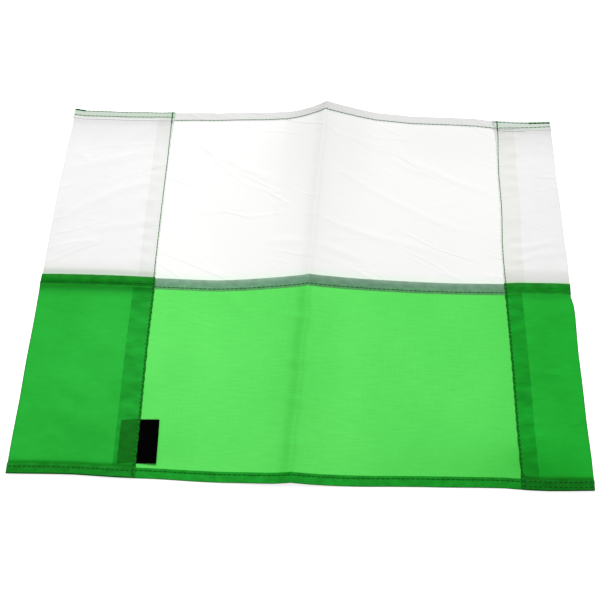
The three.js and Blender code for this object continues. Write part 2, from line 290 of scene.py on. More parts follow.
# The painted shade and light lines along the crease: where each lies beside it and half its width, and how
# much lighter it is.
CREASE_LINES = ((-4.6 * MM, 4.4 * MM), (-0.2 * MM, 1.1 * MM), (1.8 * MM, 1.6 * MM))
CREASE_LINE_STRENGTHS = (-1.0, 0.25, -0.45)
# How far to the right of the crease the painted shade goes on getting deeper.
FAR_RIGHT = 200 * MM
# The dark painted shade lines along the cloth's folded edges, and how softly one tone runs into the next.
EDGE_LINE = 0.5 * MM
FLAP_EDGE_LINE = 1.2 * MM
FLAP_EDGE_PAST = 0.3 * MM
LABEL_PAST_EDGE = 0.2 * MM
SHARP = 0.15 * MM
TURNED_SOFTNESS = 0.4 * MM
FOLD_SOFTNESS = 0.9 * MM
CREASE_SOFTNESS = 1.0 * MM
TOP_HEM_SOFTNESS = 1.2 * MM
LABEL_SOFTNESS = 1.4 * MM

# The finish of the thread and the label's ribbon.
PLY_PITCH = 0.9 * MM
PLY_DEPTH = 0.05 * MM
RIB_PITCH = 0.55 * MM
RIB_DEPTH = 0.06 * MM
RIBBON_YARN_PITCH = 0.3 * MM
BOUND_EDGE = 1.2 * MM

# What sets the two nylons apart, with the strengths of the painted shade and light along the crease. The
# painted shades are soft patches of painted shade, and of painted light where the depth is below 0: across
# from the crease, up the flag, reach across and up, in millimetres, and how much darker it is there.
WHITE_PAINTED_SHADES = (
    (105, 330, 75, 26, 0.035),
    (85, 350, 95, 22, 0.04),
    (32, 325, 22, 45, 0.03),
    (60, 300, 40, 40, 0.02),
    (-36, 325, 36, 60, 0.07),
)
GREEN_PAINTED_SHADES = (
    (-170, 40, 40, 26, 0.03),
    (-14, 84, 12, 60, 0.02),
    (-158, 118, 28, 38, -0.08),
    (40, 100, 20, 130, -0.05),
    (208, 142, 30, 40, 0.06),
    (186, 27, 12, 9, 0.12),
    (-140, 65, 20, 18, 0.05),
    (-98, 24, 22, 22, 0.09),
    (120, 14, 100, 18, 0.06),
    (201, 12, 48, 22, 0.16),
)
WHITE_FINISH = {
    "bars": 0.03,
    "clouds": 0.02,
    "wrinkle_depth": 0.26 * MM,
    "crumple_depth": 0.1 * MM,
    "crease": {"Broad": 0.07, "Line": 0.035, "Far_Right": 0.05},
    "channel_depths": (1, 1, 1),
    "painted_shades": WHITE_PAINTED_SHADES,
}
GREEN_FINISH = {
    "bars": 0.24,
    "clouds": 0.14,
    "wrinkle_depth": 0.06 * MM,
    "crumple_depth": 0.08 * MM,
    "crease": {"Broad": 0.055, "Line": 0.1, "Far_Right": 0.13},
    "channel_depths": (2.2, 1, 2.0),
    "painted_shades": GREEN_PAINTED_SHADES,
}

UNSHADED = (1, 1, 1, 1)
# The tones of bands of the cloth: shares of the way across the band, and the colour there. Those of the seam
# and hem are the cloth's own colours, and those over and under them are painted shades that multiply its
# colour, with a pale green painted glow along the seam's top edge on the white.
SEAM_ON_WHITE = (
    (0.0, (142, 172, 150)), (0.35, (115, 159, 129)), (0.62, (107, 157, 121)), (0.76, (104, 158, 116)),
    (0.84, (92, 156, 103)), (1.0, (92, 166, 98)),
)
SEAM_ON_LEFT_FLAP = (
    (0.0, (34, 134, 40)), (0.3, (19, 134, 30)), (0.5, (7, 119, 20)), (0.65, (5, 121, 19)),
    (0.8, (9, 140, 23)), (1.0, (22, 143, 32)),
)
SEAM_ON_RIGHT_FLAP = (
    (0.0, (40, 138, 47)), (0.3, (22, 142, 35)), (0.5, (12, 130, 26)), (0.62, (20, 152, 35)),
    (0.73, (28, 176, 44)), (0.86, (34, 180, 48)), (0.94, (20, 152, 32)), (1.0, (30, 160, 44)),
)
HEM_ON_GREEN = (
    (0.62, (27, 158, 43)), (0.78, (18, 145, 33)), (1.0, (25, 156, 40)),
)
HEM_ON_FLAPS = (
    (0.2, (21, 136, 33)), (0.7, (19, 130, 30)), (0.85, (26, 142, 35)), (1.0, (18, 130, 28)),
)
OVER_SEAM = (
    (0.0, (238, 253, 240)), (0.12, (243, 254, 244)), (0.31, (251, 254, 250)), (0.53, (255, 255, 255)),
)
OVER_SEAM_LEFT = (
    (0.0, (204, 232, 204)), (0.08, (207, 224, 208)), (0.22, (209, 216, 209)), (0.32, (221, 227, 220)),
    (0.41, (235, 239, 233)), (0.5, (243, 246, 242)), (0.7, (249, 250, 249)), (1.0, (253, 253, 253)),
)
OVER_SEAM_RIGHT = (
    (0.0, (206, 240, 204)), (0.1, (214, 233, 213)), (0.22, (226, 230, 225)), (0.35, (231, 234, 232)),
    (0.48, (237, 239, 237)), (0.75, (245, 245, 243)), (1.0, (255, 255, 255)),
)
UNDER_SEAM_LEFT = (
    (0.0, (163, 191, 158)), (0.17, (184, 204, 189)), (0.35, (209, 225, 217)), (0.6, (235, 242, 235)),
    (1.0, (255, 255, 255)),
)
UNDER_SEAM_RIGHT = (
    (0.0, (250, 236, 240)), (0.8, (255, 255, 255)),
)
OVER_HEM = (
    (0.02, (124, 190, 135)), (0.11, (146, 207, 160)), (0.18, (220, 234, 222)), (0.28, (246, 247, 246)),
    (0.5, (255, 255, 255)),
)
UNDER_HEM = (
    (0.0, (237, 237, 237)), (0.4, (246, 246, 246)), (1.0, (255, 255, 255)),
)

# Camera, light and floor.
CAMERA_PLACE = Vector((13.6, -488.1, 803.4)) * MM
CAMERA_TURNS = ((2.1, "Z"), (30.35, "X"), (-0.43, "Z"))
CAMERA_SENSOR = 36.0
CAMERA_LENS = 65.22
LAMP_PLACE = (0.1, 1.2, 1.85)
LAMP_SIZE = 1.3
LAMP_POWER = 38.0
SURROUND_LIGHT = 0.4
FLOOR_GLOW = 0.68
FLOOR_SIZE = 4.0

rng = np.random.default_rng(SEED)


def between(start, end, share):
    return start + (end - start) * share


def smooth(share):
    share = np.clip(share, 0, 1)
    return share * share * (3 - 2 * share)


def fade(distance, reach, power=1.0):
    return np.maximum(0, 1 - distance / reach) ** power


def soft_fade(distance, reach, power):
    """The same with a soft foot, so that the cloth runs out flat."""
    left = 1 - distance / reach
    return (0.5 * (left + np.sqrt(left**2 + FOOT_SOFTNESS**2))) ** power


def unit(vectors):
    return vectors / np.maximum(np.linalg.norm(vectors, axis=-1, keepdims=True), 1e-12)


def in_zone(up, start, end, ramp):
    """1 between start and end, falling smoothly to 0 over ramp on either side."""
    return smooth(1 - np.maximum(start - up, up - end) / ramp)


def strayed(strays, place):
    """How far a line strays at a place along it, from a table of places and strays in millimetres."""
    places, shifts = zip(*strays)
    return np.interp(place, np.array(places) * MM, np.array(shifts) * MM)


def crease_at(up):
    return between(CREASE_BOTTOM, CREASE_TOP, up / FLAG_HEIGHT)


# The cloth as it lies


def ridge_and_plan(across, up):
    """The ridge's height at a point of the flat cloth, and where that point lies in plan."""
    rise = up / FLAG_HEIGHT
    from_crest = across - crease_at(up)
    left = from_crest < 0
    distance = np.abs(from_crest)
    peak_reach = np.where(left, PEAK_REACH_LEFT, PEAK_REACH_RIGHT)
    skirt_top = np.where(left, SKIRT_TOP_LEFT, SKIRT_TOP_RIGHT)
    skirt_reach = between(SKIRT_BOTTOM, skirt_top, np.where(left, rise * rise, rise))
    peak = PEAK_TOP * rise**3
    skirt = between(CREST_BOTTOM, CREST_TOP, rise) - peak
    height = peak * soft_fade(distance, peak_reach, RIDGE_POWER)
    height = height + skirt * soft_fade(distance, skirt_reach, RIDGE_POWER)
    height = height + CREASE_EDGE * np.exp(-distance / CREASE_EDGE_REACH)
    drawn_in = TAKE_UP * rise * (1 - fade(distance, peak_reach))
    turned = TAKE_UP / FLAG_HEIGHT * np.abs(across - CREASE_BOTTOM)
    return across - np.sign(from_crest) * drawn_in, up + turned, height


def wave_set(count, shortest, longest):
    """Directions, lengths and phases of the waves that add up to a gentle unevenness."""
    angle = rng.uniform(0, math.pi, count)
    length = rng.uniform(shortest, longest, count)
    phase = rng.uniform(0, 2 * math.pi, count)
    return 2 * math.pi / length * np.cos(angle), 2 * math.pi / length * np.sin(angle), phase


broad_waves = wave_set(*BROAD_WAVES)
pucker_waves = wave_set(*PUCKER_WAVES)
wander_waves = wave_set(*WANDER_WAVES)


def add_waves(waves, across, up=0.0):
    """A value from 0 to 1 that changes gently over the cloth."""
    across, up = np.broadcast_arrays(across, up)
    total = np.zeros(across.shape)
    for step_across, step_up, phase in zip(*waves):
        total = total + np.sin(step_across * across + step_up * up + phase)
    return 0.5 + 0.5 * total / len(waves[0])


def wrinkle(across, up, height, half_width, places):
    """A soft ridge of cloth through the places given, dying out at both ends."""
    nearest = np.full(np.broadcast(across, up).shape, 1.0)
    along_there = np.zeros(nearest.shape)
    spans = list(zip(places, places[1:]))
    for i, ((x0, y0), (x1, y1)) in enumerate(spans):
        run, climb = (x1 - x0) * MM, (y1 - y0) * MM
        share = ((across - x0 * MM) * run + (up - y0 * MM) * climb) / (run**2 + climb**2)
        share = np.clip(share, 0, 1)
        distance = np.hypot(across - x0 * MM - share * run, up - y0 * MM - share * climb)
        closer = distance < nearest
        nearest = np.where(closer, distance, nearest)
        along_there = np.where(closer, (i + share) / len(spans), along_there)
    ends = np.sin(math.pi * np.clip(along_there, 0.02, 0.98)) ** 0.7
    return WRINKLE_SCALE * height * MM * ends * np.exp(-((nearest / (half_width * MM)) ** 2))


def puckers(along_seam, from_seam):
    """The small waves that a row of stitches draws the cloth into."""
    phase = PUCKER_DRIFT * add_waves(pucker_waves, along_seam)
    wave = 0.5 + 0.5 * np.sin(2 * math.pi * (along_seam / PUCKER_LENGTH + phase))
    return PUCKER_HEIGHT * wave * np.exp(-np.abs(from_seam) / PUCKER_REACH)


def unevenness(across, up):
    """How far the cloth stands off the smooth shape, from its wrinkles and puckers."""
    height = BROAD_HEIGHT * add_waves(broad_waves, across, up)
    for row in (HEM_BOTTOM, SEAM_BOTTOM, SEAM_TOP, FLAG_HEIGHT - HEM_TOP):
        height = height + puckers(across, up - row)
    for side in SIDES:
        height = height + puckers(up + side.hand * FLAG_WIDTH, side.across(across) - side.stitch_at(up))
    for size, half_width, places in WRINKLES:
        height = height + wrinkle(across, up, size, half_width, places)
    return height


@dataclass
class Side:
    """One side of the flag with its pole sleeve. Its strays and shifts are places up the flag, and how far
    its stitches stray inwards there or its outer fold bulges outwards, in millimetres."""

    hand: int
    stitch_bottom: float
    stitch_top: float
    stitch_strays: tuple
    margin_spread: float
    billow: float
    turn_in: dict
    edge_shifts: tuple

    def across(self, inset):
        """From a distance in from the outer fold to the place across the flag, or the other way round."""
        return inset if self.hand < 0 else FLAG_WIDTH - inset

    def stitch_at(self, up):
        straight = between(self.stitch_bottom, self.stitch_top, up / FLAG_HEIGHT)
        return straight + strayed(self.stitch_strays, up)

    def edge_at(self, up):
        """Where the flap's folded edge lies. It spreads away from the stitches at the top."""
        spread = self.margin_spread * fade(FLAG_HEIGHT - up, MARGIN_SPREAD, 1.5)
        phase = SCALLOP_DRIFT * add_waves(pucker_waves, up - self.hand * FLAG_WIDTH)
        scallop = SCALLOP * np.sin(2 * math.pi * (up / SCALLOP_LENGTH + phase))
        return self.stitch_at(up) + FLAP_MARGIN + spread + scallop

    def crest_at(self, up):
        return self.across(crease_at(up))

    def thickness_share(self, up):
        """How much thicker the layers lie where hems, the lapped seam or the label add to them."""
        thick = in_zone(up, -HEM_BOTTOM, HEM_BOTTOM, STACK_RAMP)
        thick = np.maximum(thick, in_zone(up, FLAG_HEIGHT - HEM_TOP, 2 * FLAG_HEIGHT, STACK_RAMP))
        thick = HEM_THICKNESS_SHARE * thick
        thick = np.maximum(thick, in_zone(up, SEAM_BOTTOM, SEAM_TOP, STACK_RAMP))
        if self.hand < 0:
            label_top = LABEL_FROM_BOTTOM + LABEL_LENGTH
            thick = np.maximum(thick, in_zone(up, LABEL_FROM_BOTTOM, label_top, LABEL_RAMP))
        return thick

    def flap_step(self, up):
        """From the ground layer to the turned-under layer, and from that to the flap."""
        return between(FLAP_STEP_PLAIN, FLAP_STEP_THICK, self.thickness_share(up))

    def flap_lift(self, inset, up):
        """Height of the flap over the ground layer: pressed down along the stitches, loose between."""
        step = self.flap_step(up)
        stitch = self.stitch_at(up)
        share = np.clip((inset - step) / (stitch - step), 0, 1)
        loose = np.sin(math.pi * np.clip(up / FLAG_HEIGHT, 0, 1)) ** 0.5
        stiff_ends = between(BILLOW_AT_ENDS_SHARE, 1.0, loose)
        billow = self.billow * stiff_ends * np.sin(math.pi * share) ** 0.8
        near_seam = np.clip((stitch - inset) / TUCK_REACH, 0, 1)
        tuck = np.sin(math.pi * near_seam) ** 2
        phase = TUCK_DRIFT * add_waves(pucker_waves, up + self.hand * FLAG_WIDTH)
        wave = (0.5 + 0.5 * np.sin(2 * math.pi * (up / TUCK_LENGTH + phase))) ** 2
        return 2 * step + billow + TUCK_HEIGHT * tuck * wave

    def edge_offset(self, up):
        """How far the outer fold strays from its straight line, outwards."""
        wander = add_waves(wander_waves, up + 3 * self.hand * FLAG_WIDTH) - 0.5
        return strayed(self.edge_shifts, up) + EDGE_WANDER * wander


wide = Side(
    hand=-1,
    stitch_bottom=100.5 * MM,
    stitch_top=94 * MM,
    stitch_strays=(
        (0, 0.3), (50, 0.1), (90, -0.3), (120, -0.45), (165, 0.05), (200, -0.2), (240, 0.0), (290, 0.5),
        (320, 0.85), (366, 0.8),
    ),
    margin_spread=1.3 * MM,
    billow=1.5 * MM,
    turn_in={"white": 14.8 * MM, "green": 18.2 * MM},
    edge_shifts=(
        (0, -0.7), (40, -0.6), (110, -0.1), (150, 0.0), (172, 0.3), (195, -0.1), (210, 0.3), (275, 0.2),
        (300, -0.3), (330, -0.9), (345, -1.8), (366, -1.5),
    ),
)
narrow = Side(
    hand=1,
    stitch_bottom=55.5 * MM,
    stitch_top=50 * MM,
    stitch_strays=(
        (0, -0.5), (20, -0.5), (50, 0.2), (100, 0.4), (130, 0.8), (160, 1.4), (190, 2.2), (212, 2.6),
        (228, 2.5), (250, 1.3), (268, 0.8), (300, 1.2), (325, 0.5), (345, -0.5), (366, -0.6),
    ),
    margin_spread=2.8 * MM,
    billow=1.4 * MM,
    turn_in={"white": 17.8 * MM, "green": 13.8 * MM},
    edge_shifts=(
        (0, -0.3), (10, 0.2), (25, 0.6), (60, 0.2), (120, 0.7), (156, 1.8), (164, 1.6), (172, -0.1),
        (184, 0.5), (205, 0.8), (230, 0.6), (258, 0.6), (300, 0.3), (330, 0.7), (366, 0.8),
    ),
)
SIDES = (wide, narrow)


def lie(side, inset, lift, up):
    """Points in space for places on the cloth, given by the distance in from the outer fold of one side,
    the lift over the ground layer and the distance up the flag."""
    across = side.across(inset)
    x, y, ridge = ridge_and_plan(across, up)
    x = x + side.hand * side.edge_offset(up) * fade(inset, FOLD_SHIFT_REACH) ** 2
    ends = fade(up, END_WANDER_REACH) + fade(FLAG_HEIGHT - up, END_WANDER_REACH)
    y = y + EDGE_WANDER * (add_waves(wander_waves, across, up) - 0.5) * np.minimum(ends, 1)
    for line, shifts in LINE_SHIFTS:
        y = y + strayed(shifts, across) * fade(np.abs(up - line), SHIFT_REACH)
    z = GROUND_LEVEL + ridge + unevenness(across, up) + lift
    return np.stack(np.broadcast_arrays(FOOT_X + x, FOOT_Y + y, z), axis=-1)


# The cloth's way through a sleeve


def ground_shares(length):
    """Shares of the ground layer's way from the outer fold to the crest, closer together near the crest."""
    plain = length - CREST_ZONE
    shares = np.linspace(0, plain / length, int(plain / COLUMN_STEP) + 1)
    near = np.linspace(plain / length, 1, int(CREST_ZONE / CREST_STEP) + 1)
    return np.concatenate([shares, near[1:]])


def half_path(side, turn_in, up):
    """The cloth of one side from its raw edge, hidden in the sleeve, to the crest. Gives the distance in from
    the outer fold and the lift at each station, for each place up the flag, and the name of each stretch."""
    up = np.atleast_1d(up)
    stitch, step = side.stitch_at(up), side.flap_step(up)
    inner, outer = step / 2, step
    edge = side.edge_at(up) - inner
    places, names = [], []

    def add(name, inset, lift):
        places.append((inset + 0 * up, lift + 0 * up))
        names.append(name)

    for share in np.linspace(0, 1, int(turn_in / COLUMN_STEP) + 1):
        inset = between(edge - turn_in, edge, share)
        add("turned", inset, side.flap_lift(inset, up) - 2 * inner)
    for angle in np.linspace(-math.pi / 2, math.pi / 2, FOLD_STEPS + 1)[1:-1]:
        add("inner", edge + inner * math.cos(angle), 2 * step - inner + inner * math.sin(angle))
    flap_columns = int(side.stitch_bottom / COLUMN_STEP)
    for share in np.linspace(1, 0, flap_columns + 1):
        inset = between(outer, edge, share)
        add("flap", inset, side.flap_lift(inset, up))
    for angle in np.linspace(math.pi / 2, -math.pi / 2, FOLD_STEPS + 3)[1:-1]:
        add("outer", outer - outer * math.cos(angle), outer + outer * math.sin(angle))
    for share in ground_shares(float(side.crest_at(0.0))):
        add("ground", between(outer, side.crest_at(up), share), 0.0)
    return np.array([p[0] for p in places]), np.array([p[1] for p in places]), names


class Panel:
    """One cloth panel: its section up the flag, and its path across, the same for every place up the flag."""

    def __init__(self, colour, section):
        self.colour = colour
        self.up = np.array([place[0] for place in section])
        self.level = np.array([place[1] for place in section])

    def paths(self, up):
        return [half_path(side, side.turn_in[self.colour], up) for side in SIDES]

    def points(self, up):
        left, right = self.paths(up)
        first = lie(wide, left[0], left[1], up)
        second = lie(narrow, right[0], right[1], up)
        return np.concatenate([first, second[::-1][1:]])

    def marks(self, up):
        """At each station: the distance past the flap's edge, in from the outer fold and right of the crease,
        and the name of the stretch."""
        left, right = self.paths(up)
        past = [p[0] - side.edge_at(up) for p, side in zip((left, right), SIDES)]
        past = np.concatenate([past[0], past[1][::-1][1:]])
        inset = np.concatenate([left[0], right[0][::-1][1:]])
        across = np.concatenate([wide.across(left[0]), narrow.across(right[0])[::-1][1:]])
        return past, inset, across - crease_at(up), left[2] + right[2][::-1][1:]

    def frame(self, up):
        """Points, and the cloth's own directions there: up the flag, and square to the cloth on its front."""
        points = self.points(up)
        along = unit(self.points(up + FRAME_STEP) - self.points(up - FRAME_STEP))
        front = unit(np.cross(np.gradient(points, axis=0), along))
        return points, along, front


# The panels in section


def half_turn(edge, start, end, outward):
    """The cloth folded back on itself: from one level to another, with its fold at the edge given."""
    radius, middle, half = abs(start - end) / 2, (start + end) / 2, (start - end) / 2
    angles = np.linspace(0, math.pi, FOLD_STEPS)
    return [(edge + outward * radius * (math.sin(a) - 1), middle + half * math.cos(a)) for a in angles]


def flat_run(start, end, level):
    count = max(1, round(abs(end - start) / ROW_STEP))
    return [(up, level) for up in np.linspace(start, end, count + 1)]


def white_section():
    """From the raw edge hidden in the lapped seam to the raw edge hidden in the top hem."""
    hem = FLAG_HEIGHT - HEM_TOP
    places = flat_run(SEAM_TOP - SEAM_TUCK, SEAM_BOTTOM + TURN_CLEAR, LAP_TURNED)
    places += half_turn(SEAM_BOTTOM, LAP_TURNED, LAP_FACE, -1)
    places += flat_run(SEAM_BOTTOM + TURN_CLEAR, SEAM_TOP - SEAM_RAMP / 2, LAP_FACE)
    places += flat_run(SEAM_TOP + SEAM_RAMP / 2, hem, 0.0)
    places += flat_run(hem + ROW_STEP, FLAG_HEIGHT - TURN_CLEAR, 0.0)
    places += half_turn(FLAG_HEIGHT, 0.0, -2 * LAYER_STEP, 1)
    places += flat_run(FLAG_HEIGHT - TURN_CLEAR, hem + TURN_CLEAR, -2 * LAYER_STEP)
    places += half_turn(hem, -2 * LAYER_STEP, -LAYER_STEP, -1)
    return places + flat_run(hem + TURN_CLEAR, FLAG_HEIGHT - HEM_TUCK, -LAYER_STEP)


def green_section():
    """From the raw edge hidden in the bottom hem to the raw edge hidden behind the lapped seam."""
    places = flat_run(HEM_TUCK, HEM_BOTTOM - TURN_CLEAR, -LAYER_STEP)
    places += half_turn(HEM_BOTTOM, -LAYER_STEP, -2 * LAYER_STEP, 1)
    places += flat_run(HEM_BOTTOM - TURN_CLEAR, TURN_CLEAR, -2 * LAYER_STEP)
    places += half_turn(0.0, -2 * LAYER_STEP, 0.0, -1)
    places += flat_run(TURN_CLEAR, HEM_BOTTOM, 0.0)
    places += flat_run(HEM_BOTTOM + ROW_STEP, SEAM_BOTTOM - SEAM_RAMP / 2, 0.0)
    places += flat_run(SEAM_BOTTOM + SEAM_RAMP / 2, SEAM_TOP - TURN_CLEAR, -LAP_TURNED)
    places += half_turn(SEAM_TOP, -LAP_TURNED, -LAP_FACE, 1)
    return places + flat_run(SEAM_TOP - TURN_CLEAR, SEAM_BOTTOM + SEAM_TUCK, -LAP_FACE)


# Meshes


def mesh_object(name, points, faces, attributes, material):
    """A mesh piece with its points, faces of equal or mixed length, and vector attributes at its points."""
    mesh = bpy.data.meshes.new(name)
    mesh.from_pydata(points.tolist(), [], faces)
    for key, values in attributes.items():
        layer = mesh.attributes.new(key, "FLOAT_VECTOR", "POINT")
        layer.data.foreach_set("vector", np.asarray(values, np.float32).ravel())
    mesh.polygons.foreach_set("use_smooth", [True] * len(mesh.polygons))
    mesh.materials.append(material)
    mesh.update()
    piece = bpy.data.objects.new(name, mesh)
    bpy.context.scene.collection.objects.link(piece)
    return piece


def closed_sheet(front, back):
    """Points and faces of a thin closed sheet from two grids of points, its front and its back."""
    columns, height = front.shape[:2]
    index = np.arange(columns * height).reshape(columns, height)
    behind = index + columns * height

    def quads(a, b, c, d):
        return np.stack([a, b, c, d], axis=-1).reshape(-1, 4)

    faces = [quads(index[:-1, :-1], index[1:, :-1], index[1:, 1:], index[:-1, 1:])]
    faces.append(quads(behind[:-1, :-1], behind[:-1, 1:], behind[1:, 1:], behind[1:, :-1]))
    faces.append(quads(index[0, :-1], index[0, 1:], behind[0, 1:], behind[0, :-1]))
    faces.append(quads(index[-1, 1:], index[-1, :-1], behind[-1, :-1], behind[-1, 1:]))
    faces.append(quads(index[1:, 0], index[:-1, 0], behind[:-1, 0], behind[1:, 0]))
    faces.append(quads(index[:-1, -1], index[1:, -1], behind[1:, -1], behind[:-1, -1]))
    points = np.concatenate([front.reshape(-1, 3), back.reshape(-1, 3)])
    return points, np.concatenate(faces).tolist()


def lengths_along(points, axis):
    """Distance along a grid of points from its first row or column, taken at the middle of the other way."""
    steps = np.linalg.norm(np.diff(points, axis=axis), axis=-1)
    middle = np.take(steps, steps.shape[1 - axis] // 2, axis=1 - axis)
    return np.concatenate([[0.0], np.cumsum(middle)])


def panel_piece(name, panel, material):
    """A panel as one cloth from sleeve to sleeve, with its hem and its share of the lapped seam."""
    points, along, front = panel.frame(panel.up)
    run, climb = np.gradient(panel.up), np.gradient(panel.level)
    length = np.hypot(run, climb)
    run, climb = (run / length)[None, :, None], (climb / length)[None, :, None]
    level = panel.level[None, :, None]
    faces = []
    for half in (0.5 * CLOTH, -0.5 * CLOTH):
        faces.append(points + front * (level + half * run) - along * half * climb)
    past, inset, from_crease, _ = panel.marks(panel.up)
    up = np.broadcast_to(panel.up, past.shape)
    middle = points + front * level
    far, high = np.meshgrid(lengths_along(middle, 0), lengths_along(middle, 1), indexing="ij")
    lay = np.stack([past, up, inset], axis=-1).reshape(-1, 3)
    flat = np.stack([far, high, from_crease], axis=-1).reshape(-1, 3)
    attributes = {"lay": np.concatenate([lay, lay]), "flat": np.concatenate([flat, flat])}
    mesh_points, mesh_faces = closed_sheet(*faces)
    return mesh_object(name, mesh_points, mesh_faces, attributes, material)


# Rows of lockstitches


def stitch_centres(points, normals, radius, tones):
    """One side of a row of lockstitches: a centre line over the cloth and down into each needle hole, with
    the normals, distances, tones and radius there."""
    distance = np.concatenate([[0.0], np.cumsum(np.linalg.norm(np.diff(points, axis=0), axis=1))])
    count = max(1, int(distance[-1] / STITCH_PITCH))
    at = np.add.outer(np.arange(count), STITCH_PHASES).ravel() / count * distance[-1]
    at = np.append(at, distance[-1])
    lift = radius * np.append(np.tile(STITCH_LIFTS, count), STITCH_LIFTS[0])
    shown = np.append(np.tile(np.where(STITCH_SHOWN, *tones), count), tones[1])
    centre = np.stack([np.interp(at, distance, points[:, k]) for k in range(3)], axis=-1)
    square = unit(np.stack([np.interp(at, distance, normals[:, k]) for k in range(3)], axis=-1))
    aside = unit(np.cross(square, np.gradient(centre, axis=0)))
    slack = rng.normal(0, THREAD_SLACK_SHARE * radius, (len(at), 1))
    return centre + square * lift[:, None] + aside * slack, square, at, shown, radius


def thread_piece(name, material, strands):
    """All the strands of a row as one piece: closed tubes of thread along their centre lines."""
    points, faces, flat = [], [], []
    start = 0
    for centre, square, at, shown, radius in strands:
        tangent = unit(np.gradient(centre, axis=0))
        aside = unit(np.cross(square, tangent))
        over = np.cross(tangent, aside)
        count = len(centre)
        lines = [start + k * count for k in range(THREAD_SIDES)]
        for k, (a, b) in enumerate(zip(lines, lines[1:] + lines[:1])):
            angle = 2 * math.pi * k / THREAD_SIDES
            points.append(centre + radius * (math.cos(angle) * aside + math.sin(angle) * over))
            flat.append(np.stack([at, np.full(count, angle), shown], axis=-1))
            faces += [(a + i, b + i, b + i + 1, a + i + 1) for i in range(count - 1)]
        faces += [tuple(reversed(lines)), tuple(line + count - 1 for line in lines)]
        start += THREAD_SIDES * count
    return mesh_object(name, np.concatenate(points), faces, {"flat": np.concatenate(flat)}, material)


def cross_strand(panel, up, level, stretches, hidden, tones):
    """A strand that runs across the flag at one height, on the stretches of cloth named. It starts and ends
    where it is hidden that far past the flaps' edges."""
    points, _, front = panel.frame(np.array([up]))
    past, _, _, names = panel.marks(np.array([up]))
    chosen = np.array([name in stretches and p > -hidden for name, p in zip(names, past[:, 0])])
    side = math.copysign(1, level)
    path = (points + front * level)[chosen, 0]
    return stitch_centres(path, side * front[chosen, 0], THREAD_RADIUS, tones)


def flap_strand(panel, hand, heights, radius, tones, start=0.0, end=1.0):
    """A strand across one flap, from one height at the outer fold to another at the sleeve's stitches,
    between two shares of that way."""
    heights = np.array(heights)
    points, _, front = panel.frame(heights)
    from_crease, names = panel.marks(heights)[2:]
    chosen = [i for i, name in enumerate(names) if name == "flap" and from_crease[i, 0] * hand > 0]
    chosen = sorted(chosen, key=lambda i: -abs(from_crease[i, 0]))
    share = np.linspace(0, 1, len(chosen))[:, None]
    paths = (points - front * back_level(heights)[:, None])[chosen]
    path = between(paths[:, 0], paths[:, 1], share)
    kept = slice(int(start * len(chosen)), int(end * len(chosen)))
    return stitch_centres(path[kept], -front[chosen, 0][kept], radius, tones)


def back_level(up):
    """How far the cloth's back lies from the middle of its layer, with hems and the lapped seam."""
    knots = [HEM_BOTTOM, HEM_BOTTOM + MM, SEAM_BOTTOM - MM, SEAM_BOTTOM, SEAM_TOP, SEAM_TOP + MM]
    knots += [FLAG_HEIGHT - HEM_TOP - MM, FLAG_HEIGHT - HEM_TOP]
    levels = [HEM_OUT, FACE_OUT, FACE_OUT, LAP_OUT, LAP_OUT, FACE_OUT, FACE_OUT, HEM_OUT]
    return np.interp(up, knots, levels)


def sleeve_strand(side, on_flap, tones, start=ROW_END, end=FLAG_HEIGHT - ROW_END, aside=0.0):
    """The strand of a sleeve's seam that lies on the flap, or the one that lies behind the ground layer."""
    up = np.linspace(start, end, max(8, int((end - start) / MM)))
    stitch = side.stitch_at(up) + aside
    ends = back_level(up)
    lift = side.flap_lift(stitch, up) + ends if on_flap else -ends
    points = lie(side, stitch, lift, up)
    across = lie(side, stitch + FRAME_STEP, lift, up) - points
    normal = unit(np.cross(across * -side.hand, np.gradient(points, axis=0)))
    radius = SLACK_THREAD_RADIUS if on_flap else THREAD_RADIUS
    return stitch_centres(points, normal if on_flap else -normal, radius, tones)


# The woven label


def label_piece(material):
    """A strip folded in two: both ends under the flap, its fold out on the green panel."""
    low = CLOTH / 2 + LABEL_LAYER / 2 + LABEL_GAP
    high = low + LABEL_LAYER + LABEL_GAP
    fold = (high - low) / 2
    run = np.linspace(-LABEL_HELD, LABEL_FREE - fold, LABEL_COLUMNS)
    turn = np.linspace(-math.pi / 2, math.pi / 2, LABEL_FOLD_STEPS)[1:-1]
    reach = np.concatenate([run, LABEL_FREE - fold + fold * np.cos(turn), run[::-1]])[:, None]
    height = np.concatenate([0 * run + low, (low + high) / 2 + fold * np.sin(turn), 0 * run + high])[:, None]
    up = np.linspace(LABEL_FROM_BOTTOM, LABEL_FROM_BOTTOM + LABEL_LENGTH, LABEL_ROWS)[None, :]
    along_label = (up - LABEL_FROM_BOTTOM) / LABEL_LENGTH
    curl = LABEL_CURL * smooth(reach / LABEL_FREE)
    curl = curl * between(LABEL_CURL_MIDDLE_SHARE, 1.0, (2 * along_label - 1) ** 2)
    skew = LABEL_SKEW * (along_label - 0.5) * smooth(reach / LABEL_FREE)

    def surface(up_there):
        inset = wide.stitch_at(up_there) + FLAP_MARGIN + reach + skew
        return lie(wide, inset, height + curl, up_there)

    points = surface(up)
    along = unit(surface(up + FRAME_STEP) - surface(up - FRAME_STEP))
    front = unit(np.cross(np.gradient(points, axis=0), along))
    # The strip's own middle runs low, round the fold and back high, so its front faces down, out and up.
    outer, inner = points - front * LABEL_LAYER / 2, points + front * LABEL_LAYER / 2
    mesh_points, mesh_faces = closed_sheet(inner, outer)
    far, high_up = np.meshgrid(lengths_along(points, 0), up[0], indexing="ij")
    flat = np.stack([far, high_up, 0 * far], axis=-1).reshape(-1, 3)
    attributes = {"flat": np.concatenate([flat, flat])}
    return mesh_object("woven_label", mesh_points, mesh_faces, attributes, material)


# Materials


